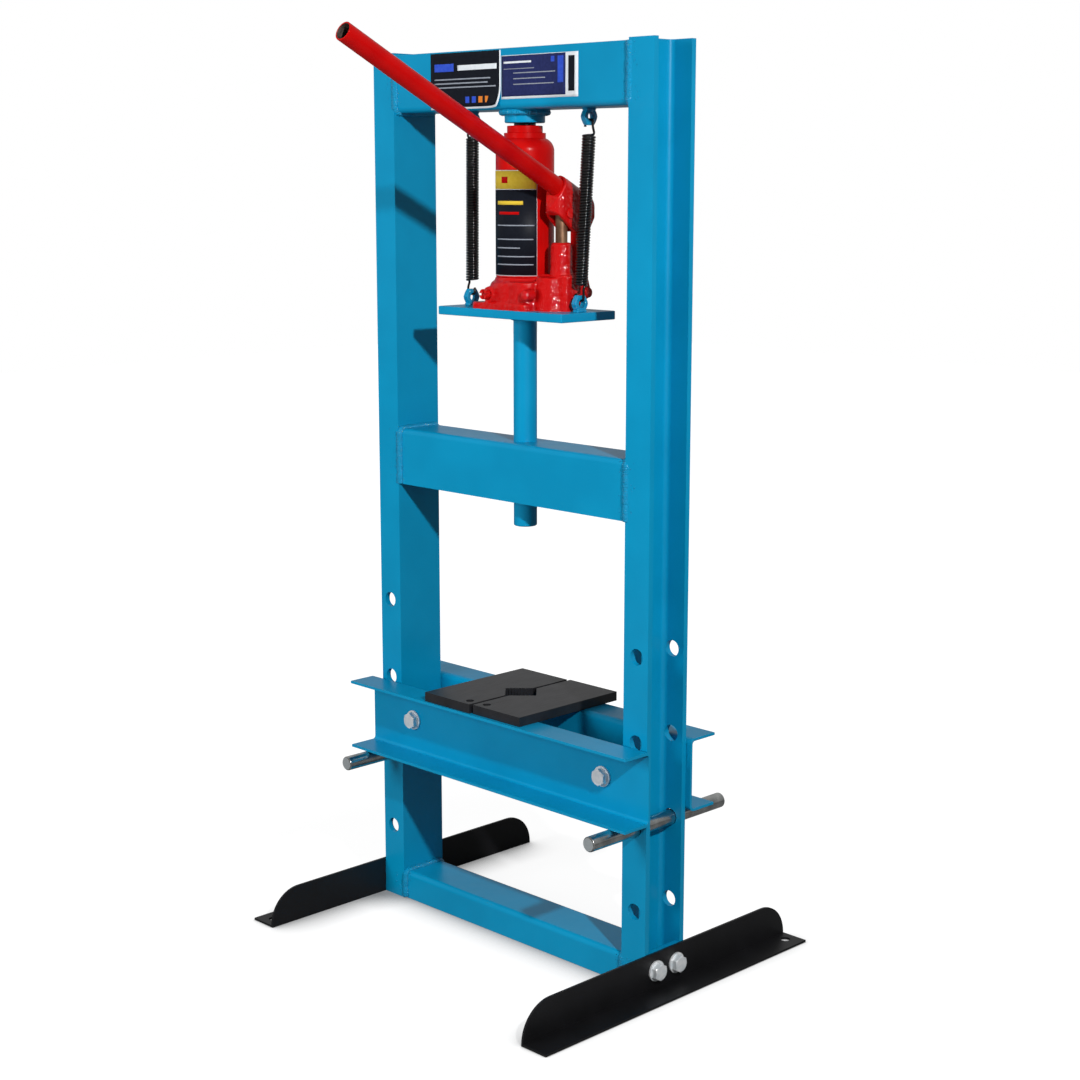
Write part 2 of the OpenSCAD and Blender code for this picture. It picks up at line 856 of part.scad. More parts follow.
// Cast base of the jack
module jack_base() {
    valve_stem_end = boss_r / 2;
    color(red) difference() {
        union() {
            translate([(sole_right - sole_left) / 2, 0, plate_top])
                linear_extrude(sole_t)
                    round_rect_2d(sole_left + sole_right, 2 * sole_y, sole_r);
            translate([0, 0, plate_top]) {
                cylinder(r = boss_r, h = boss_h - boss_round);
                rotate_extrude() {
                    square([boss_r - boss_round, base_h]);
                    translate([boss_r - boss_round, boss_h - boss_round])
                        circle(boss_round);
                }
            }
            translate([(sole_right - block_left) / 2 + block_left, 0, plate_top])
                linear_extrude(boss_h)
                    round_rect_2d(sole_right - block_left, 2 * block_y, block_r);
            translate([nose_x / 2, 0, plate_top])
                linear_extrude(nose_h)
                    round_rect_2d(nose_x, 2 * nose_y, nose_r);
            on_pump_plane(socket_w) lug_2d();
            translate([-valve_x, -valve_stem_end, plate_top + valve_z])
                rotate([90, 0, 0])
                    cylinder(d = valve_boss_d, h = valve_boss_y - valve_stem_end);
        }
        // Seat of the tank and of the main cylinder
        translate([0, 0, tank_z]) cylinder(r = tank_r + fit, h = nose_h);
        translate([0, 0, cylinder_low])
            cylinder(d = bore_d + 2 * bore_wall, h = nose_h);
        // Seat of the pump cylinder, and its bore
        translate([pump_x, 0, plate_top + nose_h - pump_seat])
            cylinder(d = pump_d, h = nose_h);
        // Slot and hole of the link
        on_pump_plane(slot_w)
            translate([-link_y - boss_r, -past])
                square([boss_r + link_w, nose_h + 2 * past]);
        translate([pump_x, link_y, plate_top + link_low_z])
            bar_x(link_pin_d, socket_w + 2 * past);
        // Hole of the release valve
        translate([-valve_x, -valve_stem_end, plate_top + valve_z])
            rotate([90, 0, 0])
                cylinder(r = valve_d / 2 + fit, h = boss_r);
    }
}

// Tank with its shoulder and neck
module jack_tank() {
    color(red) difference() {
        union() {
            tank_shell(tank_r, shoulder_r);
            translate([0, 0, neck_z]) cylinder(d = neck_d, h = neck_h);
        }
        translate([0, 0, neck_z + neck_h]) cylinder(r = tank_d, h = shoulder_r);
        tank_shell(tank_r - tank_wall, shell_r);
        translate([0, 0, tank_z - past]) cylinder(r = tank_r - tank_wall, h = 2 * past);
        cylinder(d = cap_plug_d, h = jack_top);
        plug_place() translate([0, 0, -past]) cylinder(d = plug_d, h = tank_r);
    }
}

// A cylinder with a round shoulder, of the outside or the inside of the tank
module tank_shell(r, round_r) {
    rotate_extrude() {
        translate([0, tank_z]) square([r, shoulder_z - tank_z]);
        translate([0, tank_z]) square([shoulder_x, shoulder_z + round_r - tank_z]);
        intersection() {
            translate([shoulder_x, shoulder_z]) circle(round_r);
            translate([0, shoulder_z]) square([r, round_r]);
        }
    }
}

// Place of the filler plug in the back of the tank, with +Z of the children outwards
module plug_place() {
    translate([0, tank_r - tank_wall, shoulder_z - plug_drop])
        rotate([-90, 0, 0])
            children();
}

module filler_plug() {
    color(black) plug_place() {
        cylinder(d = plug_d, h = tank_wall);
        translate([0, 0, tank_wall]) cylinder(r = plug_d / 2 + plug_rim, h = plug_out);
    }
}

module jack_cylinder() {
    color(steel) translate([0, 0, cylinder_low]) difference() {
        cylinder(d = bore_d + 2 * bore_wall, h = cylinder_top - cylinder_low);
        translate([0, 0, bore_seat])
            cylinder(d = bore_d, h = cylinder_top - cylinder_low);
    }
}

module jack_cap() {
    cap_z = neck_z + neck_h;
    color(red) difference() {
        union() {
            translate([0, 0, cap_z]) cylinder(d = cap_d, h = cap_h);
            translate([0, 0, cylinder_top])
                cylinder(d = cap_plug_d, h = cap_z - cylinder_top);
        }
        translate([0, 0, cylinder_top - past])
            cylinder(r = ram_d / 2 + fit, h = jack_top);
    }
}

module jack_ram() {
    color(steel) difference() {
        union() {
            translate([0, 0, ram_low]) cylinder(d = bore_d - 2 * fit, h = piston_h);
            translate([0, 0, ram_low]) cylinder(d = ram_d, h = jack_top - ram_low);
        }
        translate([0, 0, jack_top - screw_len])
            cylinder(d = screw_d, h = screw_len + past);
    }
}

module jack_screw() {
    color(dark_steel) {
        translate([0, 0, jack_top - screw_len]) cylinder(d = screw_d, h = screw_len);
        translate([0, 0, jack_top]) cylinder(d = screw_head_d, h = screw_head_h);
    }
}

module pump_cylinder() {
    low = plate_top + nose_h - pump_seat;
    color(red) translate([pump_x, 0, low]) difference() {
        cylinder(d = pump_d, h = plate_top + pump_top - low);
        translate([0, 0, bore_wall]) cylinder(d = pump_bore_d, h = pump_top);
    }
}

// Pump piston, with the hole of its pin wider than the pin
module pump_piston() {
    color(steel) difference() {
        translate([pump_x, 0, plate_top + piston_low])
            cylinder(d = piston_d, h = eye_z + piston_d / 2 - piston_low);
        translate([pump_x, 0, plate_top + eye_z])
            bar_x(eye_pin_d + 2 * eye_room, 2 * piston_d);
    }
}

module pump_link() {
    color(red) difference() {
        on_pump_plane(link_w) {
            translate([-link_y, link_top_z]) circle(link_top_r);
            translate([-link_y, link_low_z]) circle(link_w / 2);
            translate([-link_y - link_w / 2, link_low_z])
                square([link_w, link_top_z - link_low_z]);
        }
        for (z = [link_low_z, link_top_z])
            translate([pump_x, link_y, plate_top + z])
                bar_x(link_pin_d + 2 * fit, 2 * link_w);
    }
}

// A pin through two cheeks, with a head on each end
module headed_pin(d, head) {
    bar_x(d, socket_w);
    for (side = [-1, 1])
        translate([side * (socket_w + pin_head_h) / 2, 0, 0]) bar_x(head, pin_head_h);
}

module link_pin() {
    color(red) translate([pump_x, link_y, plate_top + link_low_z])
        headed_pin(link_pin_d, pin_head_d);
}

module fulcrum_pin() {
    color(red) translate([pump_x, link_y, plate_top + link_top_z])
        headed_pin(link_pin_d, pin_head_d);
}

module piston_pin() {
    color(red) translate([pump_x, 0, plate_top + eye_z])
        headed_pin(eye_pin_d, pin_head_d);
}

// Point of the pump plane that lies s along the handle and n over its line
function by_handle(s, n) = [
    s * cos(handle_angle) - n * sin(handle_angle),
    handle_z + s * sin(handle_angle) + n * cos(handle_angle)
];

// Puts its children on the line of the handle, with +Z towards the far end
module on_handle(s) {
    place = by_handle(s, 0);
    translate([pump_x, -place.x, plate_top + place.y])
        rotate([90 - handle_angle, 0, 0])
            children();
}

// Side outline of the two cheeks of the socket casting, up to the line of the handle
module socket_2d() {
    polygon([
        by_handle(socket_front, 0),
        by_handle(socket_front, -socket_w / 2),
        [hood_front, eye_z + hood_high],
        [hood_front, eye_z + hood_low],
        [-hood_toe, eye_z - hood_drop],
        [-hood_heel, eye_z - hood_drop],
        [-hood_back, eye_z - hood_tail],
        by_handle(-hood_back / cos(handle_angle), 0)
    ]);
}

// Outline of the slot for the link and the piston
module slot_2d() {
    roof = -handle_d / 2 - fit - socket_floor;
    fork = link_top_r + slot_room;
    polygon([
        [slot_front, 0],
        [slot_front, eye_z],
        by_handle(0, roof),
        by_handle(-handle_in, roof),
        [-link_y, link_top_z],
        [-2 * link_y, link_top_z],
        [-2 * link_y, 0]
    ]);
    translate([-link_y, link_top_z]) circle(fork);
    translate([-2 * link_y, link_top_z]) square([link_y, fork]);
}

// Cast socket: a barrel round the handle on two cheeks, round at the front
module handle_socket() {
    nose = socket_w / 2;
    color(red) difference() {
        intersection() {
            union() {
                on_pump_plane(socket_w) socket_2d();
                on_handle(-2 * hood_back)
                    cylinder(r = nose, h = 2 * hood_back + socket_front);
            }
            translate([pump_x, 0, plate_top]) linear_extrude(2 * handle_z) {
                translate([0, nose - hood_front]) circle(nose);
                translate([-nose, nose - hood_front])
                    square([socket_w, hood_front + hood_back - nose]);
            }
        }
        on_pump_plane(slot_w) slot_2d();
        on_handle(-handle_in) cylinder(r = handle_d / 2 + fit, h = handle_out);
        translate([pump_x, link_y, plate_top + link_top_z])
            bar_x(link_pin_d, socket_w + 2 * past);
        translate([pump_x, 0, plate_top + eye_z])
            bar_x(eye_pin_d, socket_w + 2 * past);
    }
}

module handle() {
    len = handle_out + handle_in;
    color(red) on_handle(-handle_in) difference() {
        cylinder(d = handle_d, h = len);
        translate([0, 0, -past])
            cylinder(d = handle_d - 2 * handle_wall, h = len + 2 * past);
    }
}

// Release valve, with two crossed slots in its head
module release_valve() {
    stem = boss_r / 2;
    stem_len = valve_boss_y - stem;
    color(red) translate([-valve_x, -stem, plate_top + valve_z]) rotate([90, 0, 0])
        difference() {
            union() {
                cylinder(d = valve_d, h = stem_len);
                translate([0, 0, stem_len + rest_gap])
                    cylinder(d = valve_head_d, h = valve_head_len);
                translate([0, 0, stem_len - past]) cylinder(d = valve_d, h = 2 * past);
            }
            translate([0, 0, stem_len + valve_head_len]) {
                cube([valve_slot, valve_head_d, valve_head_len], center = true);
                cube([valve_head_d, valve_slot, valve_head_len], center = true);
            }
        }
}

function coil_points(low, high) = [
    for (i = [0 : spring_turns * coil_steps])
        let (t = i / (spring_turns * coil_steps), a = 360 * i / coil_steps)
            low + (high - low) * t + coil_r * [cos(a), sin(a), 0]
];

// A point of a smooth curve from a to d, drawn towards b and c
function bezier(a, b, c, d, t) =
    pow(1 - t, 3) * a + 3 * pow(1 - t, 2) * t * b + 3 * (1 - t) * t * t * c + t * t * t * d;

// A hook that leaves the coil at +X, climbs past the face of its nut, bends into the hole
// and hangs down again behind the nut. End is the middle of the coil's end.
function hook_points(end, eye, up) =
    let (
        face = eye_len / 2,
        out = face + hook_gap + wire_d / 2,
        run = eye.z - up * (eye_hole_d / 2 - wire_d / 2 - hook_room),
        foot = [eye.x + out, 0, eye.z - up * eye_af / 2],
        start = end + [coil_r, 0, 0]
    ) concat(
        [
            for (i = [1 : hook_steps])
                bezier(start, start + up * [0, coil_r / 2, hook_rise],
                    foot - [0, 0, up * 2 * hook_rise], foot, i / hook_steps)
        ],
        [
            for (a = [0 : 30 : 90])
                [
                    eye.x + out - hook_r * (1 - cos(a)),
                    0,
                    run - up * hook_r * (1 - sin(a))
                ]
        ],
        [
            for (a = [90 : -30 : 0])
                [
                    eye.x - out + hook_r * (1 - cos(a)),
                    0,
                    run - up * hook_r * (1 - sin(a))
                ]
        ],
        [[eye.x - out, 0, eye.z - up * (eye_af / 2 + hook_tip)]]
    );

function flip(list) = [for (i = [len(list) - 1 : -1 : 0]) list[i]];

function spring_points(low, high, eye_low, eye_high) = concat(
    flip(hook_points(low, eye_low, -1)),
    coil_points(low, high),
    hook_points(high, eye_high, 1)
);

function unit(v) = v / norm(v);

// Directions along a path, and the frames that are carried along it without twist
function path_dirs(p) = [
    for (i = [0 : len(p) - 1])
        unit(p[min(i + 1, len(p) - 1)] - p[max(i - 1, 0)])
];

function square_to(v, d) = unit(v - (v * d) * d);

function carried(dirs, first) = [
    for (i = 0, v = square_to(first, dirs[0]);
         i < len(dirs);
         i = i + 1, v = i < len(dirs) ? square_to(v, dirs[i]) : v) v
];

// A solid tube along a path
module wire(p, r) {
    dirs = path_dirs(p);
    sides = carried(dirs, [0, 0.3, 1]);
    points = [
        for (i = [0 : len(p) - 1], k = [0 : wire_sides - 1])
            let (a = 360 * k / wire_sides)
                p[i] + r * (cos(a) * sides[i] + sin(a) * cross(dirs[i], sides[i]))
    ];
    last = (len(p) - 1) * wire_sides;
    faces = concat(
        [for (k = [1 : wire_sides - 2]) [0, k, k + 1]],
        [for (k = [1 : wire_sides - 2]) [last, last + k + 1, last + k]],
        [
            for (i = [0 : len(p) - 2], k = [0 : wire_sides - 1])
                let (
                    a = i * wire_sides + k,
                    b = i * wire_sides + (k + 1) % wire_sides
                ) each [[a, a + wire_sides, b], [b, a + wire_sides, b + wire_sides]]
        ]
    );
    polyhedron(points, faces);
}

// Least distance between two parts of a path that are not neighbours, less the wire
function self_gap(p) = min([
    for (i = [0 : len(p) - 1], j = [i + coil_steps - 2 : min(i + 3 * coil_steps, len(p) - 1)])
        norm(p[i] - p[j]) - wire_d
]);

// The left spring is the right one turned half round, so its places are taken from -X
spring_left_points = spring_points(
    [low_left - coil_shift, 0, plate_top + coil_low],
    [high_left, 0, top_z - coil_drop],
    [low_left, 0, lower_eye_z],
    [high_left, 0, upper_eye_z]
);
spring_right_points = spring_points(
    [low_right + coil_shift, 0, plate_top + coil_low],
    [high_right, 0, top_z - coil_drop],
    [low_right, 0, lower_eye_z],
    [high_right, 0, upper_eye_z]
);
echo(least_gap_left = self_gap(spring_left_points));
echo(least_gap_right = self_gap(spring_right_points));

module return_spring_left() {
    color(black) rotate([0, 0, 180]) wire(spring_left_points, wire_d / 2);
}

module return_spring_right() {
    color(black) wire(spring_right_points, wire_d / 2);
}

leg_left();
leg_right();
top_beam();
middle_beam();
bottom_beam();
ram_guide();
saddle_pad();
upper_spring_eyes();
foot_left();
foot_right();
foot_plates();
foot_bolts();
foot_washers();
foot_nuts();
return_spring_left();
return_spring_right();
jack_ram();
jack_screw();
ram_plate();
ram_rod();
lower_spring_eyes();
jack_base();
jack_tank();
jack_cylinder();
jack_cap();
filler_plug();
pump_cylinder();
link_pin();
release_valve();
pump_link();
handle_socket();
fulcrum_pin();
piston_pin();
handle();
pump_piston();
bed_channel_front();
bed_channel_rear();
bed_spacers();
bed_bolts();
bed_washers();
bed_nuts();
arbor_plate_left();
arbor_plate_right();
bed_pin_left();
bed_pin_right();
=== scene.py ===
"""Hydraulic workshop press: paint, castings, springs, welds, labels, light and camera."""
import json
import math
import random

import bmesh
import bpy
from mathutils import Matrix, Vector, noise
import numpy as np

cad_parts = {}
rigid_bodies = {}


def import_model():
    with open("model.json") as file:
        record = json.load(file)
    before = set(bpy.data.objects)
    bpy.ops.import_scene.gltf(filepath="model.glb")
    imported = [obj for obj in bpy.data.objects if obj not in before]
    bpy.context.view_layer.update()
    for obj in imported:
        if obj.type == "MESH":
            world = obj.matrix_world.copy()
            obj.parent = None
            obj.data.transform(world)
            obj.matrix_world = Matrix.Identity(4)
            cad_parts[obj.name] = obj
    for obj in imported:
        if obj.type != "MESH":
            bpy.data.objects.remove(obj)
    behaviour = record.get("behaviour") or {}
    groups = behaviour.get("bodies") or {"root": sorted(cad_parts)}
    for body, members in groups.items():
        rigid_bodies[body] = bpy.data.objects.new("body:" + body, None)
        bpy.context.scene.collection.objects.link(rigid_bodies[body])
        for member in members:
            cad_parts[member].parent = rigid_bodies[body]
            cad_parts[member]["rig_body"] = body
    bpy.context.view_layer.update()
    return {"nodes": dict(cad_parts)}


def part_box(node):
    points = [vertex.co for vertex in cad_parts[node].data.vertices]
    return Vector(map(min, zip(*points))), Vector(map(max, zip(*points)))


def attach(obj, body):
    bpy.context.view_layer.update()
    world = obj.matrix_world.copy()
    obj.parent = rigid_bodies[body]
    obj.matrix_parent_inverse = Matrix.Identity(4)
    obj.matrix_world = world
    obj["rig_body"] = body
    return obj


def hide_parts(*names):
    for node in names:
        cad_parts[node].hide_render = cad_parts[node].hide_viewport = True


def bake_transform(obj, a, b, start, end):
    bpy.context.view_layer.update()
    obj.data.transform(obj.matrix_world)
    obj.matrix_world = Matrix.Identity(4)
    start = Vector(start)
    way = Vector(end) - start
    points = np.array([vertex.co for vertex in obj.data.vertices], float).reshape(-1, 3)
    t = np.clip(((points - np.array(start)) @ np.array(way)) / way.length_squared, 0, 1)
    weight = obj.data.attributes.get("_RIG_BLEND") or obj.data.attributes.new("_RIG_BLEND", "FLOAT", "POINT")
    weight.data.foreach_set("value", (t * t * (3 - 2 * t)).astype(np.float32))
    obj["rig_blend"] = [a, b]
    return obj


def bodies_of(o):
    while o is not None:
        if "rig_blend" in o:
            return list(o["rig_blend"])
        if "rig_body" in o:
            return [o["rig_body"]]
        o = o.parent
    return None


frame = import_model()


def reach(node, axis):
    """The lowest and highest place of a node along one axis, 0 for X to 2 for Z."""
    low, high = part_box(node)
    return low[axis], high[axis]


# Places of the press that the pieces here are set out from, in metres. The press stands
# over the origin, so one side's place serves both sides. The head is the top beam.
HEAD_LOW, HEAD_TOP = reach("top_beam", 2)
MIDDLE_BEAM = reach("middle_beam", 2)
BOTTOM_BEAM_TOP = reach("bottom_beam", 2)[1]
BEAM_FRONT = reach("top_beam", 1)[1]
BEAM_BEND = 0.006
LEG_WEB = reach("top_beam", 0)[1]
LEG_FRONT = reach("leg_right", 1)[1]
PLATE_LOW, PLATE_TOP = reach("ram_plate", 2)
TANK_RADIUS = reach("jack_tank", 0)[1]
PUMP_X = sum(reach("pump_cylinder", 0)) / 2
PUMP_SEAT = reach("pump_cylinder", 2)[0]
HANDLE_SLOPE = math.radians(27)


def linear(colour):
    """The linear colour of an sRGB hex value, as the shaders take it."""
    parts = [int(colour[i : i + 2], 16) / 255 for i in (1, 3, 5)]
    return [p / 12.92 if p <= 0.04045 else ((p + 0.055) / 1.055) ** 2.4 for p in parts] + [1.0]


def across(mm):
    """The scale, a whole number, of a noise whose grains are this many millimetres across."""
    return round(1000 / mm)


def add(tree, kind, values=None, links=None, ramp=None, **settings):
    """A node with its settings, its plain values, its links and, on a colour ramp, its stops."""
    made = tree.nodes.new(kind)
    for name, value in settings.items():
        setattr(made, name, value)
    for socket, value in (values or {}).items():
        made.inputs[socket].default_value = value
    for socket, source in (links or {}).items():
        tree.links.new(source, made.inputs[socket])
    for stop, (place, colour) in enumerate(ramp or []):
        stops = made.color_ramp.elements
        element = stops[stop] if stop < 2 else stops.new(place)
        element.position = place
        element.color = linear(colour)
    return made


def start_finish(name, values):
    """A material, its tree, its shader with plain values, and its Object coordinates."""
    finish = bpy.data.materials.new(name)
    finish.use_nodes = True
    tree = finish.node_tree
    shader = tree.nodes["Principled BSDF"]
    for socket, value in values.items():
        shader.inputs[socket].default_value = value
    return finish, tree, shader, add(tree, "ShaderNodeTexCoord").outputs["Object"]


def blue_enamel():
    """Gloss blue enamel sprayed on rolled steel: an even colour with a soft sheen, faint
    orange peel 2 mm across on slow waves of 18 mm, and a drift in tone over 70 mm where
    the coat is thicker."""
    finish, tree, shader, spot = start_finish(
        "blue_gloss_enamel",
        {"Specular IOR Level": 0.22, "Coat Weight": 0.1, "Coat Roughness": 0.1}
    )
    drift = add(tree, "ShaderNodeTexNoise", {"Scale": across(71.4), "Detail": 2.0}, {"Vector": spot})
    tone = add(tree, "ShaderNodeValToRGB", None, {"Fac": drift.outputs["Fac"]},
               [(0.35, "#038DBA"), (0.65, "#0594C2")])
    tree.links.new(tone.outputs["Color"], shader.inputs["Base Color"])
    sheen = add(tree, "ShaderNodeTexNoise", {"Scale": across(16.7), "Detail": 3.0}, {"Vector": spot})
    rough = add(tree, "ShaderNodeMapRange", {"To Min": 0.28, "To Max": 0.4},
                {"Value": sheen.outputs["Fac"]})
    tree.links.new(rough.outputs["Result"], shader.inputs["Roughness"])
    peel = add(tree, "ShaderNodeTexNoise", {"Scale": across(2), "Detail": 2.0}, {"Vector": spot})
    roll = add(tree, "ShaderNodeTexNoise", {"Scale": across(18.2), "Detail": 1.0}, {"Vector": spot})
    soft = add(tree, "ShaderNodeBump", {"Strength": 0.25, "Distance": 0.00006},
               {"Height": peel.outputs["Fac"]})
    wave = add(tree, "ShaderNodeBump", {"Strength": 0.3, "Distance": 0.0003},
               {"Height": roll.outputs["Fac"], "Normal": soft.outputs["Normal"]})
    tree.links.new(wave.outputs["Normal"], shader.inputs["Normal"])
    return finish


def weld_enamel():
    """The same blue enamel over a weld: a thick gloss coat, with dimples 4 mm apart, over
    rough metal with lumps of 2 mm, so that each ripple and each bead of spatter gives its
    own glint."""
    finish, tree, shader, spot = start_finish(
        "blue_enamel_over_weld",
        {"Roughness": 0.42, "Specular IOR Level": 0.2, "Coat Weight": 0.9, "Coat Roughness": 0.13}
    )
    lumps = add(tree, "ShaderNodeTexNoise", {"Scale": across(2.38), "Detail": 3.0}, {"Vector": spot})
    tone = add(tree, "ShaderNodeValToRGB", None, {"Fac": lumps.outputs["Fac"]},
               [(0.3, "#0386B2"), (0.7, "#0594C2")])
    tree.links.new(tone.outputs["Color"], shader.inputs["Base Color"])
    bump = add(tree, "ShaderNodeBump", {"Strength": 0.8, "Distance": 0.0006},
               {"Height": lumps.outputs["Fac"]})
    tree.links.new(bump.outputs["Normal"], shader.inputs["Normal"])
    ripple = add(tree, "ShaderNodeTexNoise", {"Scale": across(3.85), "Detail": 1.0}, {"Vector": spot})
    glint = add(tree, "ShaderNodeBump", {"Strength": 1.0, "Distance": 0.0045},
                {"Height": ripple.outputs["Fac"]})
    tree.links.new(glint.outputs["Normal"], shader.inputs["Coat Normal"])
    return finish


def red_casting():
    """Gloss red enamel on sand-cast iron: lumps of 3 to 8 mm under the paint, dimples 5 mm
    apart in its thick coat, which break the lamp's image into small sparks, painted shade that
    darkens the red in the hollows, and a painted highlight that lightens it on the ridges."""
    finish, tree, shader, spot = start_finish(
        "red_enamel_on_cast_iron",
        {"Roughness": 0.4, "Specular IOR Level": 0.1, "Coat Weight": 0.7, "Coat Roughness": 0.11}
    )
    # Painted shade and highlight: by how pointed the surface is, the red darkens in hollows and lightens on
    # ridges.
    depth = add(tree, "ShaderNodeNewGeometry")
    tone = add(tree, "ShaderNodeValToRGB", None, {"Fac": depth.outputs["Pointiness"]},
               [(0.42, "#8A0304"), (0.5, "#C2080A"), (0.58, "#CE1210")])
    tree.links.new(tone.outputs["Color"], shader.inputs["Base Color"])
    grain = add(tree, "ShaderNodeTexNoise", {"Scale": across(2.63), "Detail": 2.5}, {"Vector": spot})
    lump = add(tree, "ShaderNodeTexNoise", {"Scale": across(7.7), "Detail": 1.5}, {"Vector": spot})
    fine = add(tree, "ShaderNodeBump", {"Strength": 0.4, "Distance": 0.0005},
               {"Height": grain.outputs["Fac"]})
    coarse = add(tree, "ShaderNodeBump", {"Strength": 0.35, "Distance": 0.0012},
                 {"Height": lump.outputs["Fac"], "Normal": fine.outputs["Normal"]})
    tree.links.new(coarse.outputs["Normal"], shader.inputs["Normal"])
    spark = add(tree, "ShaderNodeTexNoise", {"Scale": across(4.76), "Detail": 1.0}, {"Vector": spot})
    gloss = add(tree, "ShaderNodeBump", {"Strength": 1.0, "Distance": 0.0026},
                {"Height": spark.outputs["Fac"]})
    tree.links.new(gloss.outputs["Normal"], shader.inputs["Coat Normal"])
    return finish


def red_turned():
    """Gloss red enamel on turned and drawn steel: smooth, with a slow drift in tone and a
    slight pull in the coat, 6 mm across."""
    finish, tree, shader, spot = start_finish(
        "red_enamel_on_turned_steel",
        {"Roughness": 0.26, "Specular IOR Level": 0.1, "Coat Weight": 0.06, "Coat Roughness": 0.05}
    )
    drift = add(tree, "ShaderNodeTexNoise", {"Scale": across(33), "Detail": 2.0}, {"Vector": spot})
    tone = add(tree, "ShaderNodeValToRGB", None, {"Fac": drift.outputs["Fac"]},
               [(0.35, "#B90708"), (0.65, "#C60D0B")])
    tree.links.new(tone.outputs["Color"], shader.inputs["Base Color"])
    pull = add(tree, "ShaderNodeTexNoise", {"Scale": across(6.25), "Detail": 2.0}, {"Vector": spot})
    bump = add(tree, "ShaderNodeBump", {"Strength": 0.25, "Distance": 0.0004},
               {"Height": pull.outputs["Fac"]})
    tree.links.new(bump.outputs["Normal"], shader.inputs["Normal"])
    return finish


def black_powder_coat():
    """Satin black powder coat on folded sheet: a fine grain under 1 mm across, drawn a
    little coarser so that it shows, and dust that greys it in patches of 45 mm."""
    finish, tree, shader, spot = start_finish(
        "black_powder_coat", {"Roughness": 0.42, "Specular IOR Level": 0.4}
    )
    dust = add(tree, "ShaderNodeTexNoise", {"Scale": across(45.5), "Detail": 4.0}, {"Vector": spot})
    tone = add(tree, "ShaderNodeValToRGB", None, {"Fac": dust.outputs["Fac"]},
               [(0.3, "#0D0D0F"), (0.75, "#151518")])
    tree.links.new(tone.outputs["Color"], shader.inputs["Base Color"])
    grain = add(tree, "ShaderNodeTexNoise", {"Scale": across(1.111), "Detail": 2.0}, {"Vector": spot})
    rough = add(tree, "ShaderNodeMapRange", {"To Min": 0.36, "To Max": 0.5},
                {"Value": dust.outputs["Fac"]})
    tree.links.new(rough.outputs["Result"], shader.inputs["Roughness"])
    bump = add(tree, "ShaderNodeBump", {"Strength": 0.35, "Distance": 0.00015},
               {"Height": grain.outputs["Fac"]})
    tree.links.new(bump.outputs["Normal"], shader.inputs["Normal"])
    return finish


def blackened_plate():
    """Black lacquer on flame-cut and ground plate: dull, clouded in patches of 22 mm, with
    fine scuffs about 1 mm apart that run with the grinding."""
    finish, tree, shader, spot = start_finish(
        "black_lacquer_on_ground_plate", {"Roughness": 0.4, "Specular IOR Level": 0.5}
    )
    cloud = add(tree, "ShaderNodeTexNoise", {"Scale": across(22), "Detail": 5.0}, {"Vector": spot})
    tone = add(tree, "ShaderNodeValToRGB", None, {"Fac": cloud.outputs["Fac"]},
               [(0.3, "#1B1B1E"), (0.72, "#262629")])
    tree.links.new(tone.outputs["Color"], shader.inputs["Base Color"])
    along = add(tree, "ShaderNodeMapping", {"Scale": (across(1), across(25), across(1))},
                {"Vector": spot})
    scuff = add(tree, "ShaderNodeTexNoise", {"Scale": 1.0, "Detail": 3.0},
                {"Vector": along.outputs["Vector"]})
    rough = add(tree, "ShaderNodeMapRange", {"To Min": 0.32, "To Max": 0.5},
                {"Value": scuff.outputs["Fac"]})
    tree.links.new(rough.outputs["Result"], shader.inputs["Roughness"])
    bump = add(tree, "ShaderNodeBump", {"Strength": 0.3, "Distance": 0.0001},
               {"Height": scuff.outputs["Fac"]})
    tree.links.new(bump.outputs["Normal"], shader.inputs["Normal"])
    return finish


def bright_zinc():
    """Bright zinc plate on forged bolts, nuts and washers: pale silver with a cool cast,
    and a satin shine that is uneven in patches 6 mm across."""
    finish, tree, shader, spot = start_finish("bright_zinc_plate", {"Metallic": 0.3})
    stain = add(tree, "ShaderNodeTexNoise", {"Scale": across(6.25), "Detail": 2.0}, {"Vector": spot})
    tone = add(tree, "ShaderNodeValToRGB", None, {"Fac": stain.outputs["Fac"]},
               [(0.35, "#E4EBEF"), (0.65, "#F8FAFB")])
    tree.links.new(tone.outputs["Color"], shader.inputs["Base Color"])
    rough = add(tree, "ShaderNodeMapRange", {"To Min": 0.18, "To Max": 0.26},
                {"Value": stain.outputs["Fac"]})
    tree.links.new(rough.outputs["Result"], shader.inputs["Roughness"])
    bump = add(tree, "ShaderNodeBump", {"Strength": 0.15, "Distance": 0.0001},
               {"Height": stain.outputs["Fac"]})
    tree.links.new(bump.outputs["Normal"], shader.inputs["Normal"])
    return finish


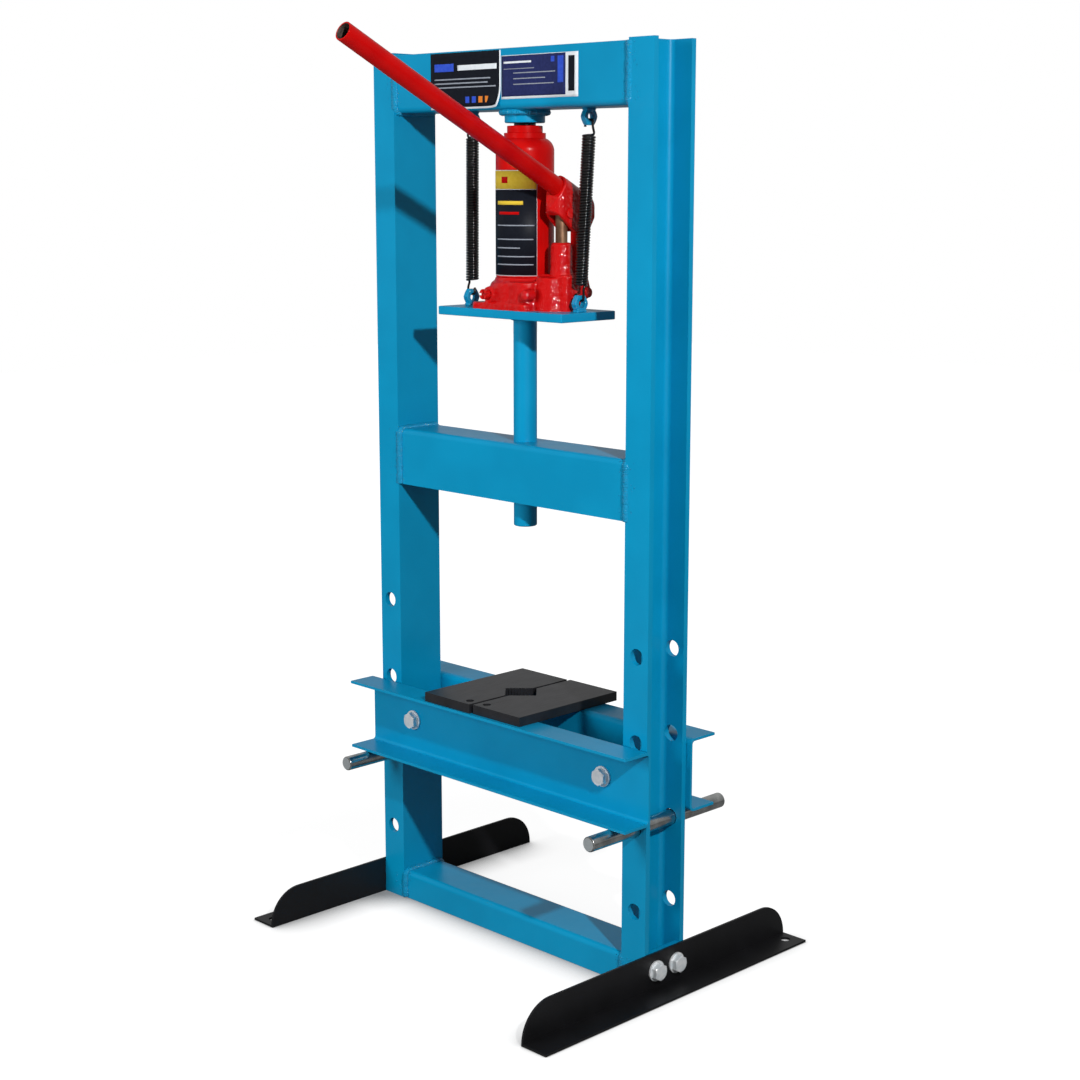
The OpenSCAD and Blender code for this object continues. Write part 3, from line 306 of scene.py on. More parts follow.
def drawn_steel(name, low, high, axis, dull=0.0):
    """Bright steel drawn or ground along one axis: fine lines run with it, drawn 0.6 mm
    apart so that they show, and thin oil marks dull it in patches 14 mm across. Low and
    high are its two tones; dull takes shine off."""
    finish, tree, shader, spot = start_finish(name, {"Metallic": 1.0 - dull})
    scale = [across(0.5556)] * 3
    scale[axis] = across(33)
    along = add(tree, "ShaderNodeMapping", {"Scale": scale}, {"Vector": spot})
    lines = add(tree, "ShaderNodeTexNoise", {"Scale": 1.0, "Detail": 2.0},
                {"Vector": along.outputs["Vector"]})
    oil = add(tree, "ShaderNodeTexNoise", {"Scale": across(14.3), "Detail": 3.0}, {"Vector": spot})
    tone = add(tree, "ShaderNodeValToRGB", None, {"Fac": oil.outputs["Fac"]},
               [(0.35, low), (0.65, high)])
    tree.links.new(tone.outputs["Color"], shader.inputs["Base Color"])
    rough = add(tree, "ShaderNodeMapRange", {"To Min": 0.14 + dull, "To Max": 0.34 + dull},
                {"Value": lines.outputs["Fac"]})
    tree.links.new(rough.outputs["Result"], shader.inputs["Roughness"])
    bump = add(tree, "ShaderNodeBump", {"Strength": 0.2, "Distance": 0.0001},
               {"Height": lines.outputs["Fac"]})
    tree.links.new(bump.outputs["Normal"], shader.inputs["Normal"])
    return finish


def sawn_steel():
    """Sawn end of a steel bar: pale grey, matt, with saw lines 1.6 mm apart. A wave node
    repeats 20 / tau times in its own unit, so its scale is worked out with that."""
    finish, tree, shader, spot = start_finish(
        "sawn_bar_end", {"Metallic": 0.7, "Roughness": 0.6}
    )
    scale = across(1.57 * 20 / math.tau)
    lines = add(tree, "ShaderNodeTexWave", {"Scale": scale, "Distortion": 3.0, "Detail": 2.0},
                {"Vector": spot})
    tone = add(tree, "ShaderNodeValToRGB", None, {"Fac": lines.outputs["Fac"]},
               [(0.2, "#B4BCC0"), (0.8, "#D8DEE0")])
    tree.links.new(tone.outputs["Color"], shader.inputs["Base Color"])
    bump = add(tree, "ShaderNodeBump", {"Strength": 0.3, "Distance": 0.0001},
               {"Height": lines.outputs["Fac"]})
    tree.links.new(bump.outputs["Normal"], shader.inputs["Normal"])
    return finish


def spring_wire():
    """Oil-blackened music wire: near black with an oily shine and brown patches 6 mm long."""
    finish, tree, shader, spot = start_finish(
        "blackened_spring_wire", {"Specular IOR Level": 0.7}
    )
    patch = add(tree, "ShaderNodeTexNoise", {"Scale": across(5.56), "Detail": 3.0}, {"Vector": spot})
    tone = add(tree, "ShaderNodeValToRGB", None, {"Fac": patch.outputs["Fac"]},
               [(0.35, "#08080A"), (0.7, "#151211")])
    tree.links.new(tone.outputs["Color"], shader.inputs["Base Color"])
    rough = add(tree, "ShaderNodeMapRange", {"To Min": 0.16, "To Max": 0.28},
                {"Value": patch.outputs["Fac"]})
    tree.links.new(rough.outputs["Result"], shader.inputs["Roughness"])
    return finish


def bare_tube():
    """Bare rolled steel inside a tube: dark grey-brown mill scale, dull, with flakes 4 mm
    across and finer specks."""
    finish, tree, shader, spot = start_finish(
        "mill_scale_inside_tube", {"Metallic": 0.5, "Roughness": 0.6}
    )
    scale = add(tree, "ShaderNodeTexNoise", {"Scale": across(3.85), "Detail": 5.0}, {"Vector": spot})
    tone = add(tree, "ShaderNodeValToRGB", None, {"Fac": scale.outputs["Fac"]},
               [(0.35, "#3A302C"), (0.7, "#6B5C54")])
    tree.links.new(tone.outputs["Color"], shader.inputs["Base Color"])
    return finish


def nitrile_rubber():
    """Moulded black rubber of the filler plug: matt, with a faint bloom in 5 mm patches."""
    finish, tree, shader, spot = start_finish(
        "moulded_black_rubber", {"Roughness": 0.65, "Specular IOR Level": 0.35}
    )
    bloom = add(tree, "ShaderNodeTexNoise", {"Scale": across(4.55), "Detail": 3.0}, {"Vector": spot})
    tone = add(tree, "ShaderNodeValToRGB", None, {"Fac": bloom.outputs["Fac"]},
               [(0.3, "#141414"), (0.8, "#26262A")])
    tree.links.new(tone.outputs["Color"], shader.inputs["Base Color"])
    return finish


def label_print(name, colour, cloud):
    """Screen-printed vinyl film: a flat colour with a dull sheen, the slight unevenness of
    the ink, 3 mm across, and slow waves of 14 mm where it lies on the paint. Cloud is the
    colour of its lighter patches."""
    finish, tree, shader, spot = start_finish(
        name, {"Roughness": 0.5, "Specular IOR Level": 0.14}
    )
    ink = add(tree, "ShaderNodeTexNoise", {"Scale": across(3.03), "Detail": 2.0}, {"Vector": spot})
    tone = add(tree, "ShaderNodeValToRGB", None, {"Fac": ink.outputs["Fac"]},
               [(0.3, colour), (0.8, cloud)])
    tree.links.new(tone.outputs["Color"], shader.inputs["Base Color"])
    lift = add(tree, "ShaderNodeTexNoise", {"Scale": across(14.3), "Detail": 1.0}, {"Vector": spot})
    bump = add(tree, "ShaderNodeBump", {"Strength": 0.2, "Distance": 0.0004},
               {"Height": lift.outputs["Fac"]})
    tree.links.new(bump.outputs["Normal"], shader.inputs["Normal"])
    return finish


BLUE = blue_enamel()
WELD = weld_enamel()
CAST_RED = red_casting()
RED = red_turned()
POWDER = black_powder_coat()
PLATE_BLACK = blackened_plate()
ZINC = bright_zinc()
PIN_STEEL = drawn_steel("bright_drawn_steel_pin", "#A7ABAB", "#D2D4D2", 1)
# The brown tones of this steel are a painted reflection of the red jack round the piston, cylinder and ram.
STEEL_WITH_PAINTED_RED_REFLECTION = drawn_steel("oiled_steel_painted_red_reflection", "#7C5A45", "#A07C60", 2, 0.25)
DARK_SCREW = drawn_steel("oil_blackened_screw", "#38383C", "#4C4C50", 0)
SAWN = sawn_steel()
WIRE = spring_wire()
SCALE = bare_tube()
RUBBER = nitrile_rubber()
FILM_DARK = label_print("black_label_film", "#12151D", "#171B24")
FILM_NAVY = label_print("navy_label_film", "#232A55", "#2B3263")
FILM_WHITE = label_print("white_label_film", "#DDE4EA", "#E9EEF2")
FILM_YELLOW = label_print("yellow_label_film", "#DDBB38", "#E6C846")
FILM_GREY = label_print("grey_label_ink", "#8D94A0", "#9BA2AD")
FILM_BLUE = label_print("blue_label_ink", "#2F4FC4", "#3C5CCE")
FILM_ORANGE = label_print("orange_label_ink", "#D9792B", "#E38A3B")

# Finish of each node, and the width of its worked edges in millimetres
NODES = {
    "leg_left": (BLUE, 1.0), "leg_right": (BLUE, 1.0),
    "top_beam": (BLUE, 0.5), "middle_beam": (BLUE, 0.5), "bottom_beam": (BLUE, 0.5),
    "ram_guide": (BLUE, 0.6), "saddle_pad": (BLUE, 1.2),
    "upper_spring_eyes": (WELD, 0.5), "lower_spring_eyes": (WELD, 0.5),
    "foot_plates": (BLUE, 0.6), "ram_plate": (BLUE, 1.0), "ram_rod": (BLUE, 0.4),
    "foot_left": (POWDER, 0.5), "foot_right": (POWDER, 0.5),
    "foot_bolts": (ZINC, 0.35), "foot_washers": (ZINC, 0.25), "foot_nuts": (ZINC, 0.35),
    "bed_bolts": (ZINC, 0.35), "bed_washers": (ZINC, 0.25), "bed_nuts": (ZINC, 0.35),
    "bed_channel_front": (BLUE, 0.6), "bed_channel_rear": (BLUE, 0.6),
    "bed_spacers": (BLUE, 0.5), "arbor_plate_left": (PLATE_BLACK, 0.4),
    "arbor_plate_right": (PLATE_BLACK, 0.4),
    "bed_pin_left": (PIN_STEEL, 0.4), "bed_pin_right": (PIN_STEEL, 0.4),
    "jack_screw": (DARK_SCREW, 0.6), "jack_cap": (RED, 1.6),
    "filler_plug": (RUBBER, 0.8), "release_valve": (CAST_RED, 0.7),
    "link_pin": (CAST_RED, 0.7), "fulcrum_pin": (CAST_RED, 0.7), "piston_pin": (CAST_RED, 0.7),
    "pump_link": (CAST_RED, 1.4), "handle": (RED, 0.5), "pump_piston": (STEEL_WITH_PAINTED_RED_REFLECTION, 0.3),
}


def new_piece(mesh, name, finish, body, *replaced):
    """A piece of the press from a bmesh, in place, smooth, with its finish, riding on its
    body. Replaced names the nodes it stands for."""
    for face in mesh.faces:
        face.smooth = True
    data = bpy.data.meshes.new(name)
    mesh.to_mesh(data)
    mesh.free()
    data.materials.append(finish)
    piece = bpy.data.objects.new(name, data)
    bpy.context.collection.objects.link(piece)
    if body:
        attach(piece, body)
    if replaced:
        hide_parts(*replaced)
    return piece


def merged_copy(node):
    """A node's mesh as a bmesh, with its loose triangles joined and its flat faces whole."""
    mesh = bmesh.new()
    mesh.from_mesh(frame["nodes"][node].data)
    bmesh.ops.remove_doubles(mesh, verts=mesh.verts, dist=2e-6)
    bmesh.ops.dissolve_limit(mesh, angle_limit=math.radians(0.6), verts=mesh.verts,
                             edges=mesh.edges, use_dissolve_boundaries=False)
    return mesh


def worked_out(holder):
    """An object as a bmesh, with its modifiers or its curve worked out."""
    mesh = bmesh.new()
    mesh.from_mesh(bpy.data.meshes.new_from_object(
        holder.evaluated_get(bpy.context.evaluated_depsgraph_get())))
    return mesh


def body_of(node):
    """The body that a node rides on."""
    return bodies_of(frame["nodes"][node])[0]


def worked(node, finish, edge_mm):
    """A node with its edges broken as a file, a press brake or thick paint leaves them."""
    piece = new_piece(merged_copy(node), node + "_finished", finish, body_of(node), node)
    edge = piece.modifiers.new("worked_edges", "BEVEL")
    edge.width = edge_mm / 1000
    edge.segments = 2
    edge.limit_method = "ANGLE"
    edge.angle_limit = math.radians(28)
    edge.miter_outer = "MITER_ARC"
    flat = piece.modifiers.new("flat_faces", "WEIGHTED_NORMAL")
    flat.mode = "FACE_AREA"
    flat.weight = 90
    return piece


# Lumps of a cast skin: how high they stand, in metres, and how close they lie
CAST_LUMPS = ((0.00018, across(5.26)), (0.00008, across(2.38)))
DRILL_LENGTH = 0.03


def bore_under_pump(piece, radius):
    """Bores a piece down to the pump's seat, and gives the drill, to be removed after."""
    middle = (PUMP_X, 0, PUMP_SEAT + DRILL_LENGTH / 2)
    mesh = bmesh.new()
    bmesh.ops.create_cone(mesh, cap_ends=True, segments=48, radius1=radius, radius2=radius,
                          depth=DRILL_LENGTH, matrix=Matrix.Translation(middle))
    drill = new_piece(mesh, piece.name + "_drill", CAST_RED, None)
    hole = piece.modifiers.new("bore", "BOOLEAN")
    hole.object = drill
    hole.solver = "EXACT"
    return drill


def raise_lumps(mesh):
    """Gives a smooth skin the lumps of sand casting."""
    mesh.normal_update()
    for vert in mesh.verts:
        lump = sum(height * noise.noise(vert.co * rate) for height, rate in CAST_LUMPS)
        vert.co += vert.normal * lump


def cut_flat(mesh, foot):
    """Cuts the underside flat at a height, with a sharp rim."""
    bmesh.ops.bisect_plane(mesh, geom=mesh.verts[:] + mesh.edges[:] + mesh.faces[:],
                           plane_co=(0, 0, foot), plane_no=(0, 0, -1), clear_outer=True)
    rim = [edge for edge in mesh.edges if edge.is_boundary]
    for edge in rim:
        edge.smooth = False
    bmesh.ops.holes_fill(mesh, edges=rim, sides=0)


def cast(node, grain_mm, passes, shape=None, foot=None, bore=None):
    """A node as sand casting leaves it: corners and joints rounded into each other, and a
    skin with lumps 2 to 5 mm across. Shape adds to its mesh first; foot is the height at
    which a flat underside is cut; bore is the radius of a hole down to the pump's seat."""
    mesh = merged_copy(node)
    if shape:
        shape(mesh)
    rough = new_piece(mesh, node + "_cast", CAST_RED, body_of(node), node)
    skin = rough.modifiers.new("skin", "REMESH")
    skin.mode = "VOXEL"
    skin.voxel_size = grain_mm / 1000
    soft = rough.modifiers.new("soft", "SMOOTH")
    soft.factor = 0.5
    soft.iterations = passes
    drill = bore_under_pump(rough, bore) if bore else None
    mesh = worked_out(rough)
    rough.modifiers.clear()
    if drill:
        bpy.data.objects.remove(drill)
    raise_lumps(mesh)
    for face in mesh.faces:
        face.smooth = True
    if foot:
        cut_flat(mesh, foot)
    mesh.to_mesh(rough.data)
    mesh.free()


# The jack's base: how much deeper its pattern is than the casting, the boss on its front,
# and the lobe under the pump, both with the radius of their two ends
BASE_ALLOWANCE = 0.006
BOSS_MIDDLE = (0.0375, -0.0325, PLATE_TOP + 0.0165)
BOSS_LENGTH = 0.014
BOSS_ROOT, BOSS_FACE = 0.0062, 0.0055
LOBE_X, LOBE_Y = 0.045, -0.006
LOBE_TOP = PLATE_TOP + 0.0345
LOBE_FOOT_RADIUS, LOBE_TOP_RADIUS = 0.0185, 0.0155
PUMP_BORE = 0.0084


def base_pattern(mesh):
    """The jack's base before it is cast: its underside goes deeper, to be cut flat
    afterwards, a round boss stands on its front, and a lobe joins its block to the nose
    under the pump."""
    low = PLATE_TOP - BASE_ALLOWANCE
    for vert in mesh.verts:
        if vert.co.z < PLATE_TOP + 0.0002:
            vert.co.z -= BASE_ALLOWANCE
    forward = Matrix.Rotation(math.radians(90), 4, "X")
    bmesh.ops.create_cone(mesh, cap_ends=True, segments=40, depth=BOSS_LENGTH,
                          radius1=BOSS_ROOT, radius2=BOSS_FACE,
                          matrix=Matrix.Translation(BOSS_MIDDLE) @ forward)
    upright = Matrix.Translation((LOBE_X, LOBE_Y, (low + LOBE_TOP) / 2))
    bmesh.ops.create_cone(mesh, cap_ends=True, segments=48, depth=LOBE_TOP - low,
                          radius1=LOBE_FOOT_RADIUS, radius2=LOBE_TOP_RADIUS, matrix=upright)


# The pump cylinder: depths under its top at which its wall is divided, what lies outside
# this radius is its outer wall, and how much wider that wall gets, by which depths
PUMP_LEVELS = (0.003, 0.010, 0.018, 0.024, 0.027, 0.030, 0.033)
PUMP_WALL = 0.0085
PUMP_WIDER, PUMP_SHOULDER = 0.24, 0.0035
PUMP_FLARE, FLARE_START, FLARE_LENGTH = 0.10, 0.023, 0.010


def pump_pattern(mesh):
    """The pump cylinder before it is cast: a shoulder under its top widens it, and its
    foot flares into the base."""
    top = max(vert.co.z for vert in mesh.verts)
    for drop in PUMP_LEVELS:
        bmesh.ops.bisect_plane(mesh, geom=mesh.verts[:] + mesh.edges[:] + mesh.faces[:],
                               plane_co=(0, 0, top - drop), plane_no=(0, 0, 1))
    for vert in mesh.verts:
        out = Vector((vert.co.x - PUMP_X, vert.co.y))
        if out.length > PUMP_WALL:
            drop = top - vert.co.z
            flare = min(max((drop - FLARE_START) / FLARE_LENGTH, 0), 1)
            wide = 1 + PUMP_WIDER * min(drop / PUMP_SHOULDER, 1) + PUMP_FLARE * flare * flare
            vert.co.x, vert.co.y = PUMP_X + out.x * wide, out.y * wide


def tube(name, points, radius, finish, body, widths=None, sides=3, closed=False, replaced=()):
    """A solid round bar along a line of points. Widths scales it from point to point, and
    closed joins its ends."""
    line = bpy.data.curves.new(name + "_line", "CURVE")
    line.dimensions = "3D"
    line.bevel_depth = radius
    line.bevel_resolution = sides
    line.use_fill_caps = True
    run = line.splines.new("POLY")
    run.points.add(len(points) - 1)
    for i, point in enumerate(points):
        run.points[i].co = (*point, 1)
        run.points[i].radius = widths[i] if widths else 1.0
    run.use_cyclic_u = closed
    holder = bpy.data.objects.new(name + "_line", line)
    bpy.context.collection.objects.link(holder)
    mesh = worked_out(holder)
    bpy.data.objects.remove(holder)
    bmesh.ops.remove_doubles(mesh, verts=mesh.verts, dist=1e-7)
    bmesh.ops.recalc_face_normals(mesh, faces=mesh.faces)
    return new_piece(mesh, name, finish, body, *replaced)


# Springs: 53 close turns with a hook at each end that goes through its welded nut
WIRE_RADIUS = 0.00125
COIL_RADIUS = 0.00585
COIL_TURNS = 53
TURN_STEPS = 16
# From the plate or the head to the end of the coil, and how far the lower end leans out
COIL_END = 0.0265
COIL_LEAN = 0.0015
# The hook: its bend, its room beside the nut and its play in the hole, its free end, and
# how long it keeps its direction where it leaves the coil and where it meets the nut
HOOK_BEND = 0.0024
HOOK_ROOM = 0.0008
HOOK_PLAY = 0.0003
HOOK_TAIL = 0.0015
HOOK_LEAVES, HOOK_MEETS = 0.0025, 0.005
HOOK_STEPS = 14
NUT_FLATS = 0.017
NUT_LENGTH = 0.0065
NUT_HOLE_RADIUS = 0.0045
# The middles of the left and right nuts, from the outer faces of the two nodes
LOWER_NUTS = [x + side * NUT_LENGTH / 2
              for x, side in zip(reach("lower_spring_eyes", 0), (1, -1))]
UPPER_NUTS = [x + side * NUT_LENGTH / 2
              for x, side in zip(reach("upper_spring_eyes", 0), (1, -1))]


def hook(end, nut, up):
    """From the coil's end past the face of the nut, through its hole and down behind it."""
    out = NUT_LENGTH / 2 + HOOK_ROOM + WIRE_RADIUS
    run = nut.z - up * (NUT_HOLE_RADIUS - WIRE_RADIUS - HOOK_PLAY)
    foot = Vector((nut.x + out, 0, nut.z - up * NUT_FLATS / 2))
    start = end + Vector((COIL_RADIUS, 0, 0))
    near = start + up * Vector((0, COIL_RADIUS / 2, HOOK_LEAVES))
    far = foot - Vector((0, 0, up * HOOK_MEETS))
    path = []
    for i in range(1, HOOK_STEPS + 1):
        t = i / HOOK_STEPS
        path.append((1 - t) ** 3 * start + 3 * (1 - t) ** 2 * t * near
                    + 3 * (1 - t) * t * t * far + t ** 3 * foot)
    for side in (1, -1):
        turn = [math.radians(a) for a in range(0, 91, 15)]
        for a in turn if side > 0 else reversed(turn):
            path.append(Vector((nut.x + side * (out - HOOK_BEND * (1 - math.cos(a))), 0,
                                run - up * HOOK_BEND * (1 - math.sin(a)))))
    path.append(Vector((nut.x - out, 0, nut.z - up * (NUT_FLATS / 2 + HOOK_TAIL))))
    return path


def return_spring(name, nut_low_x, nut_high_x, turned):
    """A return spring between its two nuts, which lie that far from the middle. The left
    one is made on the right and turned round."""
    lean = -COIL_LEAN if turned else COIL_LEAN
    low = Vector((nut_low_x + lean, 0, PLATE_TOP + COIL_END))
    high = Vector((nut_high_x, 0, HEAD_LOW - COIL_END))
    nut_low = Vector((nut_low_x, 0, PLATE_TOP + NUT_FLATS / 2))
    nut_high = Vector((nut_high_x, 0, HEAD_LOW - NUT_FLATS / 2))
    steps = COIL_TURNS * TURN_STEPS
    coil = []
    for i in range(steps + 1):
        a = 2 * math.pi * i / TURN_STEPS
        coil.append(low.lerp(high, i / steps)
                    + COIL_RADIUS * Vector((math.cos(a), math.sin(a), 0)))
    path = list(reversed(hook(low, nut_low, -1))) + coil + hook(high, nut_high, 1)
    if turned:
        path = [Vector((-p.x, -p.y, p.z)) for p in path]
    piece = tube(name + "_wound", path, WIRE_RADIUS, WIRE, None, replaced=(name,))
    x = -1 if turned else 1
    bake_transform(piece, "frame", "ram_carriage",
             start=(x * high.x, 0, high.z + 0.002), end=(x * low.x, 0, low.z - 0.002))


# Welds: beads of overlapping ripples, and the spatter beside them. Each ripple swells
# from its start, by shares of the bead's radius, and no two are quite alike.
BEAD_STEP = 0.00055
RIPPLE_PITCH = 0.0017
RIPPLE_START, RIPPLE_SWELL, RIPPLE_CHANCE = 0.84, 0.3, 0.07
BEAD_TAIL = 0.7
SPATTER_RADII = (0.0003, 0.0008)
# On the beams: the bead, its widening, how far spatter flies, and where it starts. The
# bottom beam's bead stays off the floor.
BEAM_BEAD = 0.0032
BEAM_BEAD_WIDER = 1.7
BOTTOM_BEAD_LOW = 0.0015
SPATTER_ON_BEAM = 0.010
SPATTER_ON_LEG = 0.014
SPATTER_LOW = 0.004
SPATTER_COUNT = 22
# Round the rod and the pad, and beside the nuts: the ring or the half length, the bead,
# and how far it is off the plate or the head. Those at the nuts lie in front and behind.
ROD_RING, ROD_BEAD, ROD_BEAD_OFF = 0.0140, 0.0019, 0.0014
PAD_RING, PAD_BEAD, PAD_BEAD_OFF = 0.0238, 0.0030, 0.0026
NUT_BEAD_HALF, NUT_BEAD, NUT_BEAD_OFF = 0.0036, 0.0018, 0.0006
NUT_BEAD_FRONT = 0.0052


def weld(name, points, radius, body, seed, closed=False):
    """A weld bead along a line of corners, laid in ripples."""
    chance = random.Random(seed)
    corners = [Vector(p) for p in points]
    if closed:
        corners.append(corners[0])
    path, widths, travelled = [], [], 0.0
    for a, b in zip(corners, corners[1:]):
        count = max(2, round((b - a).length / BEAD_STEP))
        for i in range(count):
            path.append(a.lerp(b, i / count))
            phase = (travelled + (b - a).length * i / count) / RIPPLE_PITCH
            widths.append(RIPPLE_START + RIPPLE_SWELL * (phase % 1) ** 2
                          + chance.uniform(-RIPPLE_CHANCE, RIPPLE_CHANCE))
        travelled += (b - a).length
    if not closed:
        path.append(corners[-1])
        widths.append(BEAD_TAIL)
    return tube(name, path, radius, WELD, body, widths, sides=2, closed=closed)


def spatter(name, places, body, seed):
    """Beads of weld metal under the paint. Places are boxes (low, high) on the surface."""
    chance = random.Random(seed)
    mesh = bmesh.new()
    for low, high in places:
        for _ in range(SPATTER_COUNT):
            spot = [chance.uniform(a, b) for a, b in zip(low, high)]
            size = chance.uniform(*SPATTER_RADII)
            bmesh.ops.create_icosphere(mesh, subdivisions=2, radius=size,
                                       matrix=Matrix.Translation(spot))
    new_piece(mesh, name, WELD, body)


def ring_points(z, radius, steps):
    """Points of a level ring about the ram's axis."""
    turn = 2 * math.pi / steps
    return [(radius * math.cos(i * turn), radius * math.sin(i * turn), z)
            for i in range(steps)]


def bend(y, z, first, last):
    """Points of a quarter bend in the plane across a beam, as (y, z)."""
    step = 15 if last > first else -15
    return [(y + BEAM_BEND * math.cos(math.radians(a)), z + BEAM_BEND * math.sin(math.radians(a)))
            for a in range(first, last + step, step)]


def beam_outline(low, high, web_up):
    """The outside of a beam's section from its front tip round the web to its rear tip."""
    turn = BEAM_FRONT - BEAM_BEND
    if web_up:
        tip = low
        bends = bend(-turn, high - BEAM_BEND, 180, 90) + bend(turn, high - BEAM_BEND, 90, 0)
    else:
        tip = high
        bends = bend(-turn, low + BEAM_BEND, 180, 270) + bend(turn, low + BEAM_BEND, 270, 360)
    return [(-BEAM_FRONT, tip)] + bends + [(BEAM_FRONT, tip)]


def weld_beams():
    """A wide, low bead round each end of the three beams, with spatter on both sides of it.
    The top beam's web lies low, the web of the other two on top."""
    beams = {
        "top_beam": (HEAD_LOW, HEAD_TOP, False),
        "middle_beam": (*MIDDLE_BEAM, True),
        "bottom_beam": (BOTTOM_BEAD_LOW, BOTTOM_BEAM_TOP, True),
    }
    for number, (beam, (low, high, web_up)) in enumerate(beams.items()):
        for side, x in (("left", -LEG_WEB), ("right", LEG_WEB)):
            line = [(x, y, z) for y, z in beam_outline(low, high, web_up)]
            bead = weld(f"{beam}_weld_{side}", line, BEAM_BEAD, "frame",
                        11 * number + int(x > 0))
            for vert in bead.data.vertices:
                vert.co.x = x + BEAM_BEAD_WIDER * (vert.co.x - x)
            inside = x - math.copysign(SPATTER_ON_BEAM, x)
            outside = x + math.copysign(SPATTER_ON_LEG, x)
            spatter(f"{beam}_spatter_{side}",
                    [((inside, -BEAM_FRONT, low + SPATTER_LOW), (x, -BEAM_FRONT, high)),
                     ((x, -LEG_FRONT, low + SPATTER_LOW), (outside, -LEG_FRONT, high))],
                    "frame", 40 + number * 2 + int(x > 0))


def weld_small_parts():
    """The rings round the ram rod and the pad, and two short beads at each spring nut."""
    weld("rod_weld", ring_points(PLATE_LOW - ROD_BEAD_OFF, ROD_RING, 48), ROD_BEAD,
         "ram_carriage", 71, closed=True)
    weld("pad_weld", ring_points(HEAD_LOW - PAD_BEAD_OFF, PAD_RING, 72), PAD_BEAD,
         "frame", 72, closed=True)
    for name, nuts, z, body in (
        ("upper", UPPER_NUTS, HEAD_LOW - NUT_BEAD_OFF, "frame"),
        ("lower", LOWER_NUTS, PLATE_TOP + NUT_BEAD_OFF, "ram_carriage"),
    ):
        for side, x in zip(("left", "right"), nuts):
            for face, y in (("front", -NUT_BEAD_FRONT), ("rear", NUT_BEAD_FRONT)):
                line = [(x - NUT_BEAD_HALF, y, z), (x + NUT_BEAD_HALF, y, z)]
                weld(f"{name}_nut_weld_{side}_{face}", line, NUT_BEAD, body,
                     80 + round(100 * abs(x)) + int(y > 0))


# Labels: thin printed films, with plain generic fields and no words. They lie a little
# off the paint, a field over its border, and print over the field.
FILM_THICKNESS = 0.00006
BEAM_FILM_GAP, TANK_FILM_GAP = 0.00008, 0.0001
FIELD_LIFT, PRINT_LIFT = 0.0001, 0.00018
# The loose corner: its rise, how far it reaches into the label, and how far it draws
# inward and up, as shares of its rise
CURL_RISE = 0.004
CURL_REACH = 0.022
CURL_INWARD, CURL_UP = 0.6, 0.35


def thicken(piece):
    """Gives a film its thickness, outwards."""
    thick = piece.modifiers.new("film", "SOLIDIFY")
    thick.thickness = FILM_THICKNESS
    thick.offset = 1.0


def film(name, corners, finish, lift=0.0, curl=0.0):
    """A thin rectangular film on the front of the top beam. Corners are its lower left and
    its upper right, in millimetres to the right of the beam's middle and over its lower
    edge. Curl raises the lower right corner, as on a label whose glue has let go."""
    (x0, z0), (x1, z1) = [(x / 1000, HEAD_LOW + z / 1000) for x, z in corners]
    mesh = bmesh.new()
    bmesh.ops.create_grid(mesh, x_segments=24, y_segments=16, size=0.5)
    for vert in mesh.verts:
        x = x0 + (vert.co.x + 0.5) * (x1 - x0)
        z = z0 + (vert.co.y + 0.5) * (z1 - z0)
        near = max(0.0, 1 - math.hypot(x1 - x, z - z0) / CURL_REACH)
        rise = curl * near ** 2
        vert.co = (x - rise * CURL_INWARD, -BEAM_FRONT - BEAM_FILM_GAP - lift - rise,
                   z + rise * CURL_UP)
    bmesh.ops.recalc_face_normals(mesh, faces=mesh.faces)
    if sum(face.normal.y for face in mesh.faces) > 0:
        bmesh.ops.reverse_faces(mesh, faces=mesh.faces)
    thicken(new_piece(mesh, name, finish, "frame"))


def beam_labels():
    """The dark label on the left, with its lower corner come loose, and the navy one."""
    film("left_label_border", ((-114, 1.8), (-6.5, 59.5)), FILM_WHITE, curl=CURL_RISE)
    film("left_label_field", ((-114, 3.8), (-8.5, 59.5)), FILM_DARK,
         lift=FIELD_LIFT, curl=CURL_RISE)
    film("right_label_border", ((-5.6, 10.1), (104, 53.5)), FILM_WHITE)
    film("right_label_field", ((-5, 12.5), (86.5, 52.9)), FILM_NAVY, lift=FIELD_LIFT)
    left_print = {
        "headline": ((-72, 41.1), (-12.5, 46.5), FILM_WHITE),
        "mark": ((-108, 40.5), (-78, 48.5), FILM_BLUE),
        "rule_a": ((-108, 31.8), (-22, 33.1), FILM_GREY),
        "rule_b": ((-108, 27.6), (-26, 28.9), FILM_GREY),
        "rule_c": ((-108, 23.4), (-14, 24.7), FILM_GREY),
        "square_a": ((-60, 7.8), (-54, 14.3), FILM_BLUE),
        "square_b": ((-50, 7.8), (-44, 14.3), FILM_BLUE),
        "square_c": ((-40, 7.8), (-34, 14.3), FILM_ORANGE),
        "square_d": ((-30, 7.8), (-24, 14.3), FILM_ORANGE),
    }
    for name, (low, high, finish) in left_print.items():
        film("left_label_" + name, (low, high), finish, lift=PRINT_LIFT)
    right_print = {
        "headline": ((-2, 45.3), (38, 47.3), FILM_WHITE),
        "line": ((-2, 39.5), (42, 40.2), FILM_GREY),
        "rule_a": ((12, 35.1), (72, 36.1), FILM_GREY),
        "rule_b": ((12, 29.5), (58, 30.5), FILM_GREY),
        "rule_c": ((12, 23.9), (70, 24.9), FILM_GREY),
        "mark": ((66, 44.8), (71, 50.3), FILM_BLUE),
        "block": ((75.5, 24.3), (83.5, 50.3), FILM_BLUE),
        "strip": ((90.5, 15.8), (99, 49.8), FILM_DARK),
    }
    for name, (low, high, finish) in right_print.items():
        film("right_label_" + name, (low, high), finish, lift=PRINT_LIFT)


